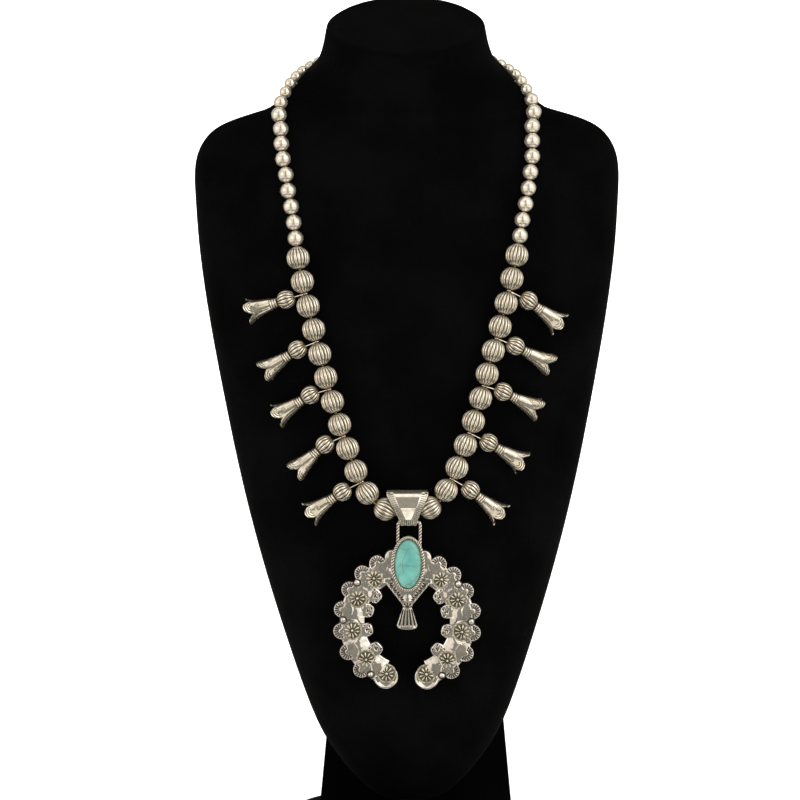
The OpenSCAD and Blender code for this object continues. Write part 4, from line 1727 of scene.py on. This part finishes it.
    def build_stone(self) -> None:
        """Turns the cabochon and draws it out to its oval."""
        rise, wall = 2.3, 1.9
        arc = [(50 * math.cos(math.radians(a)), wall + rise * math.sin(math.radians(a)))
               for a in range(0, 91, 6)]
        bm = Shaper.lathe([(0, 0), (50, 0), *arc[:-1], (0, wall + rise)], 96)
        base = self.plate_t + 0.72
        for vert in bm.verts:
            vert.co = (vert.co.x * self.stone_w / 100, self.stone_up + vert.co.y * self.stone_h / 100,
                       base + vert.co.z)
        self.hang("naja_stone", bm, "stone", Slot.STONE, ["turquoise"])


@dataclass(frozen=True)
class Panel:
    """A lit panel of the light tent, by the directions in degrees that it fills."""

    left: float
    right: float
    low: float
    high: float
    glow: tuple[float, float, float]
    soft: float = 2.5


@dataclass
class Studio:
    """The pale floor and backdrop, the light tent and the camera."""

    target: tuple[float, float, float] = (-3.6, -58.0, 224.0)
    distance: float = 1400.0
    elevation: float = 4.5
    lens: float = 129.15
    size: float = 6.0
    behind: float = 2.2
    floor_glow: float = 0.62
    back_glow: float = 1.05
    dim: tuple[float, float, float] = (0.07, 0.062, 0.05)
    plain: tuple[float, float, float] = (0.93, 0.93, 0.93)
    panels: tuple[Panel, ...] = (
        Panel(-180, -112, -90, 90, (0.42, 0.41, 0.38), 8),
        Panel(112, 180, -90, 90, (0.42, 0.41, 0.38), 8),
        Panel(-104, -18, -40, 31, (0.84, 0.77, 0.68)),
        Panel(-104, -9, 35, 56, (0.98, 0.93, 0.84)),
        Panel(-20, -9, -6, 31, (0.86, 0.81, 0.73)),
        Panel(18, 104, -40, 56, (0.95, 0.91, 0.8)),
        Panel(9, 20, -6, 56, (1.05, 1.0, 0.89)),
        Panel(-72, -36, -4, 26, (1.9, 1.74, 1.56), 8),
        Panel(26, 62, 4, 50, (2.5, 2.42, 2.25), 8),
        Panel(-9, 9, -10, 58, (0.2, 0.2, 0.18), 3),
        Panel(-104, 104, 58, 90, (1.15, 1.12, 1.05)),
        Panel(-20, 16, -31, -4, (0.2, 0.19, 0.16), 5),
        Panel(-7, 7, -54, -37, (1.3, 1.24, 1.14), 1.5),
        Panel(-180, 180, -90, -66, (0.95, 0.92, 0.86), 5),
    )

    def build(self) -> None:
        """Sets the stage, the light tent and the camera."""
        wall = Matrix.Translation((0, self.behind, 0)) @ Matrix.Rotation(math.pi / 2, 4, "X")
        self.stage("floor", Matrix.Identity(4), self.floor_glow).visible_glossy = False
        self.stage("backdrop", wall, self.back_glow).visible_glossy = False
        scene = bpy.context.scene
        scene.world = self.tent()
        scene.view_settings.view_transform = "Standard"
        self.camera()

    def tent(self) -> bpy.types.World:
        """Builds the light tent, which is plain and pale where the camera looks straight at it.

        Returns:
            The world.
        """
        world = bpy.data.worlds.new("light_tent")
        world.use_nodes = True
        world.node_tree.nodes.clear()
        n = Nodes(world.node_tree)
        split = n.add("SeparateXYZ")
        n.link(n.add("TexCoord").outputs["Generated"], split.inputs[0])
        x, y, z = split.outputs
        turn = n.maths("ARCTAN2", x, n.maths("MULTIPLY", y, -1.0))
        rise = n.maths("ARCSINE", z)
        glow = (*self.dim, 1)
        for panel in self.panels:
            share = n.maths("MULTIPLY", self.between(n, turn, panel.left, panel.right, panel.soft),
                            self.between(n, rise, panel.low, panel.high, panel.soft))
            glow = n.mix(share, glow, (*panel.glow, 1))
        seen = n.mix(n.add("LightPath").outputs["Is Camera Ray"], glow, (*self.plain, 1))
        light = n.add("Background")
        n.link(seen, light.inputs["Color"])
        n.link(light.outputs[0], n.add("OutputWorld").inputs["Surface"])
        return world

    @staticmethod
    def between(n: Nodes, value: bpy.types.NodeSocket, low: float, high: float, soft: float
                ) -> bpy.types.NodeSocket:
        """Returns 1 where an angle is between two others in degrees, with soft ends.

        Args:
            n: The nodes to add to.
            value: The angle's socket, in radians.
            low: The lower end.
            high: The upper end.
            soft: The width of each soft end.

        Returns:
            The share's socket.
        """
        ends = [math.radians(d) for d in (low - soft / 2, low + soft / 2, high - soft / 2, high + soft / 2)]
        return n.maths("MULTIPLY", n.ramp(value, *ends[:2]),
                       n.maths("SUBTRACT", 1.0, n.ramp(value, *ends[2:])))

    def stage(self, name: str, place: Matrix, glow: float) -> bpy.types.Object:
        """Adds a large plain sheet that also glows a little.

        Args:
            name: The sheet's name.
            place: Its placement in metres.
            glow: Its own brightness.

        Returns:
            The sheet.
        """
        bm = bmesh.new()
        bmesh.ops.create_grid(bm, x_segments=1, y_segments=1, size=self.size)
        bmesh.ops.transform(bm, matrix=place, verts=bm.verts)
        mesh = baked(bm, name)
        material = bpy.data.materials.new("pale_" + name)
        material.use_nodes = True
        shader = material.node_tree.nodes["Principled BSDF"]
        for label, value in (("Base Color", (0.85, 0.85, 0.85, 1)), ("Roughness", 0.9),
                             ("Emission Color", (1, 1, 1, 1)), ("Emission Strength", glow)):
            shader.inputs[label].default_value = value
        mesh.materials.append(material)
        sheet = bpy.data.objects.new(name, mesh)
        bpy.context.scene.collection.objects.link(sheet)
        return sheet

    def camera(self) -> None:
        """Adds the camera at the photograph's viewing angle."""
        rise = math.radians(self.elevation)
        back = Vector((0, -math.cos(rise), math.sin(rise)))
        data = bpy.data.cameras.new("camera")
        data.lens = self.lens
        data.sensor_width = 36.0
        data.clip_end = 50.0
        camera = bpy.data.objects.new("camera", data)
        place = (Vector(self.target) + self.distance * back) * MM
        camera.matrix_world = (Matrix.Translation(place)
                               @ (-back).to_track_quat("-Z", "Y").to_matrix().to_4x4())
        bpy.context.scene.collection.objects.link(camera)
        bpy.context.scene.camera = camera


def main() -> None:
    """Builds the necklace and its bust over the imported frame."""
    logging.basicConfig(level=logging.INFO, format="%(name)s: %(message)s")
    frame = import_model()
    shop = Workshop(frame)
    string = BeadString(shop)
    string.build()
    NeckBust(shop, string.smooth).build()
    Blossoms(shop, string).build()
    hinge = Hinge.read(frame)
    Bail(shop, hinge).build()
    Naja(shop, hinge).build()
    Studio().build()


if __name__ == "__main__":
    main()
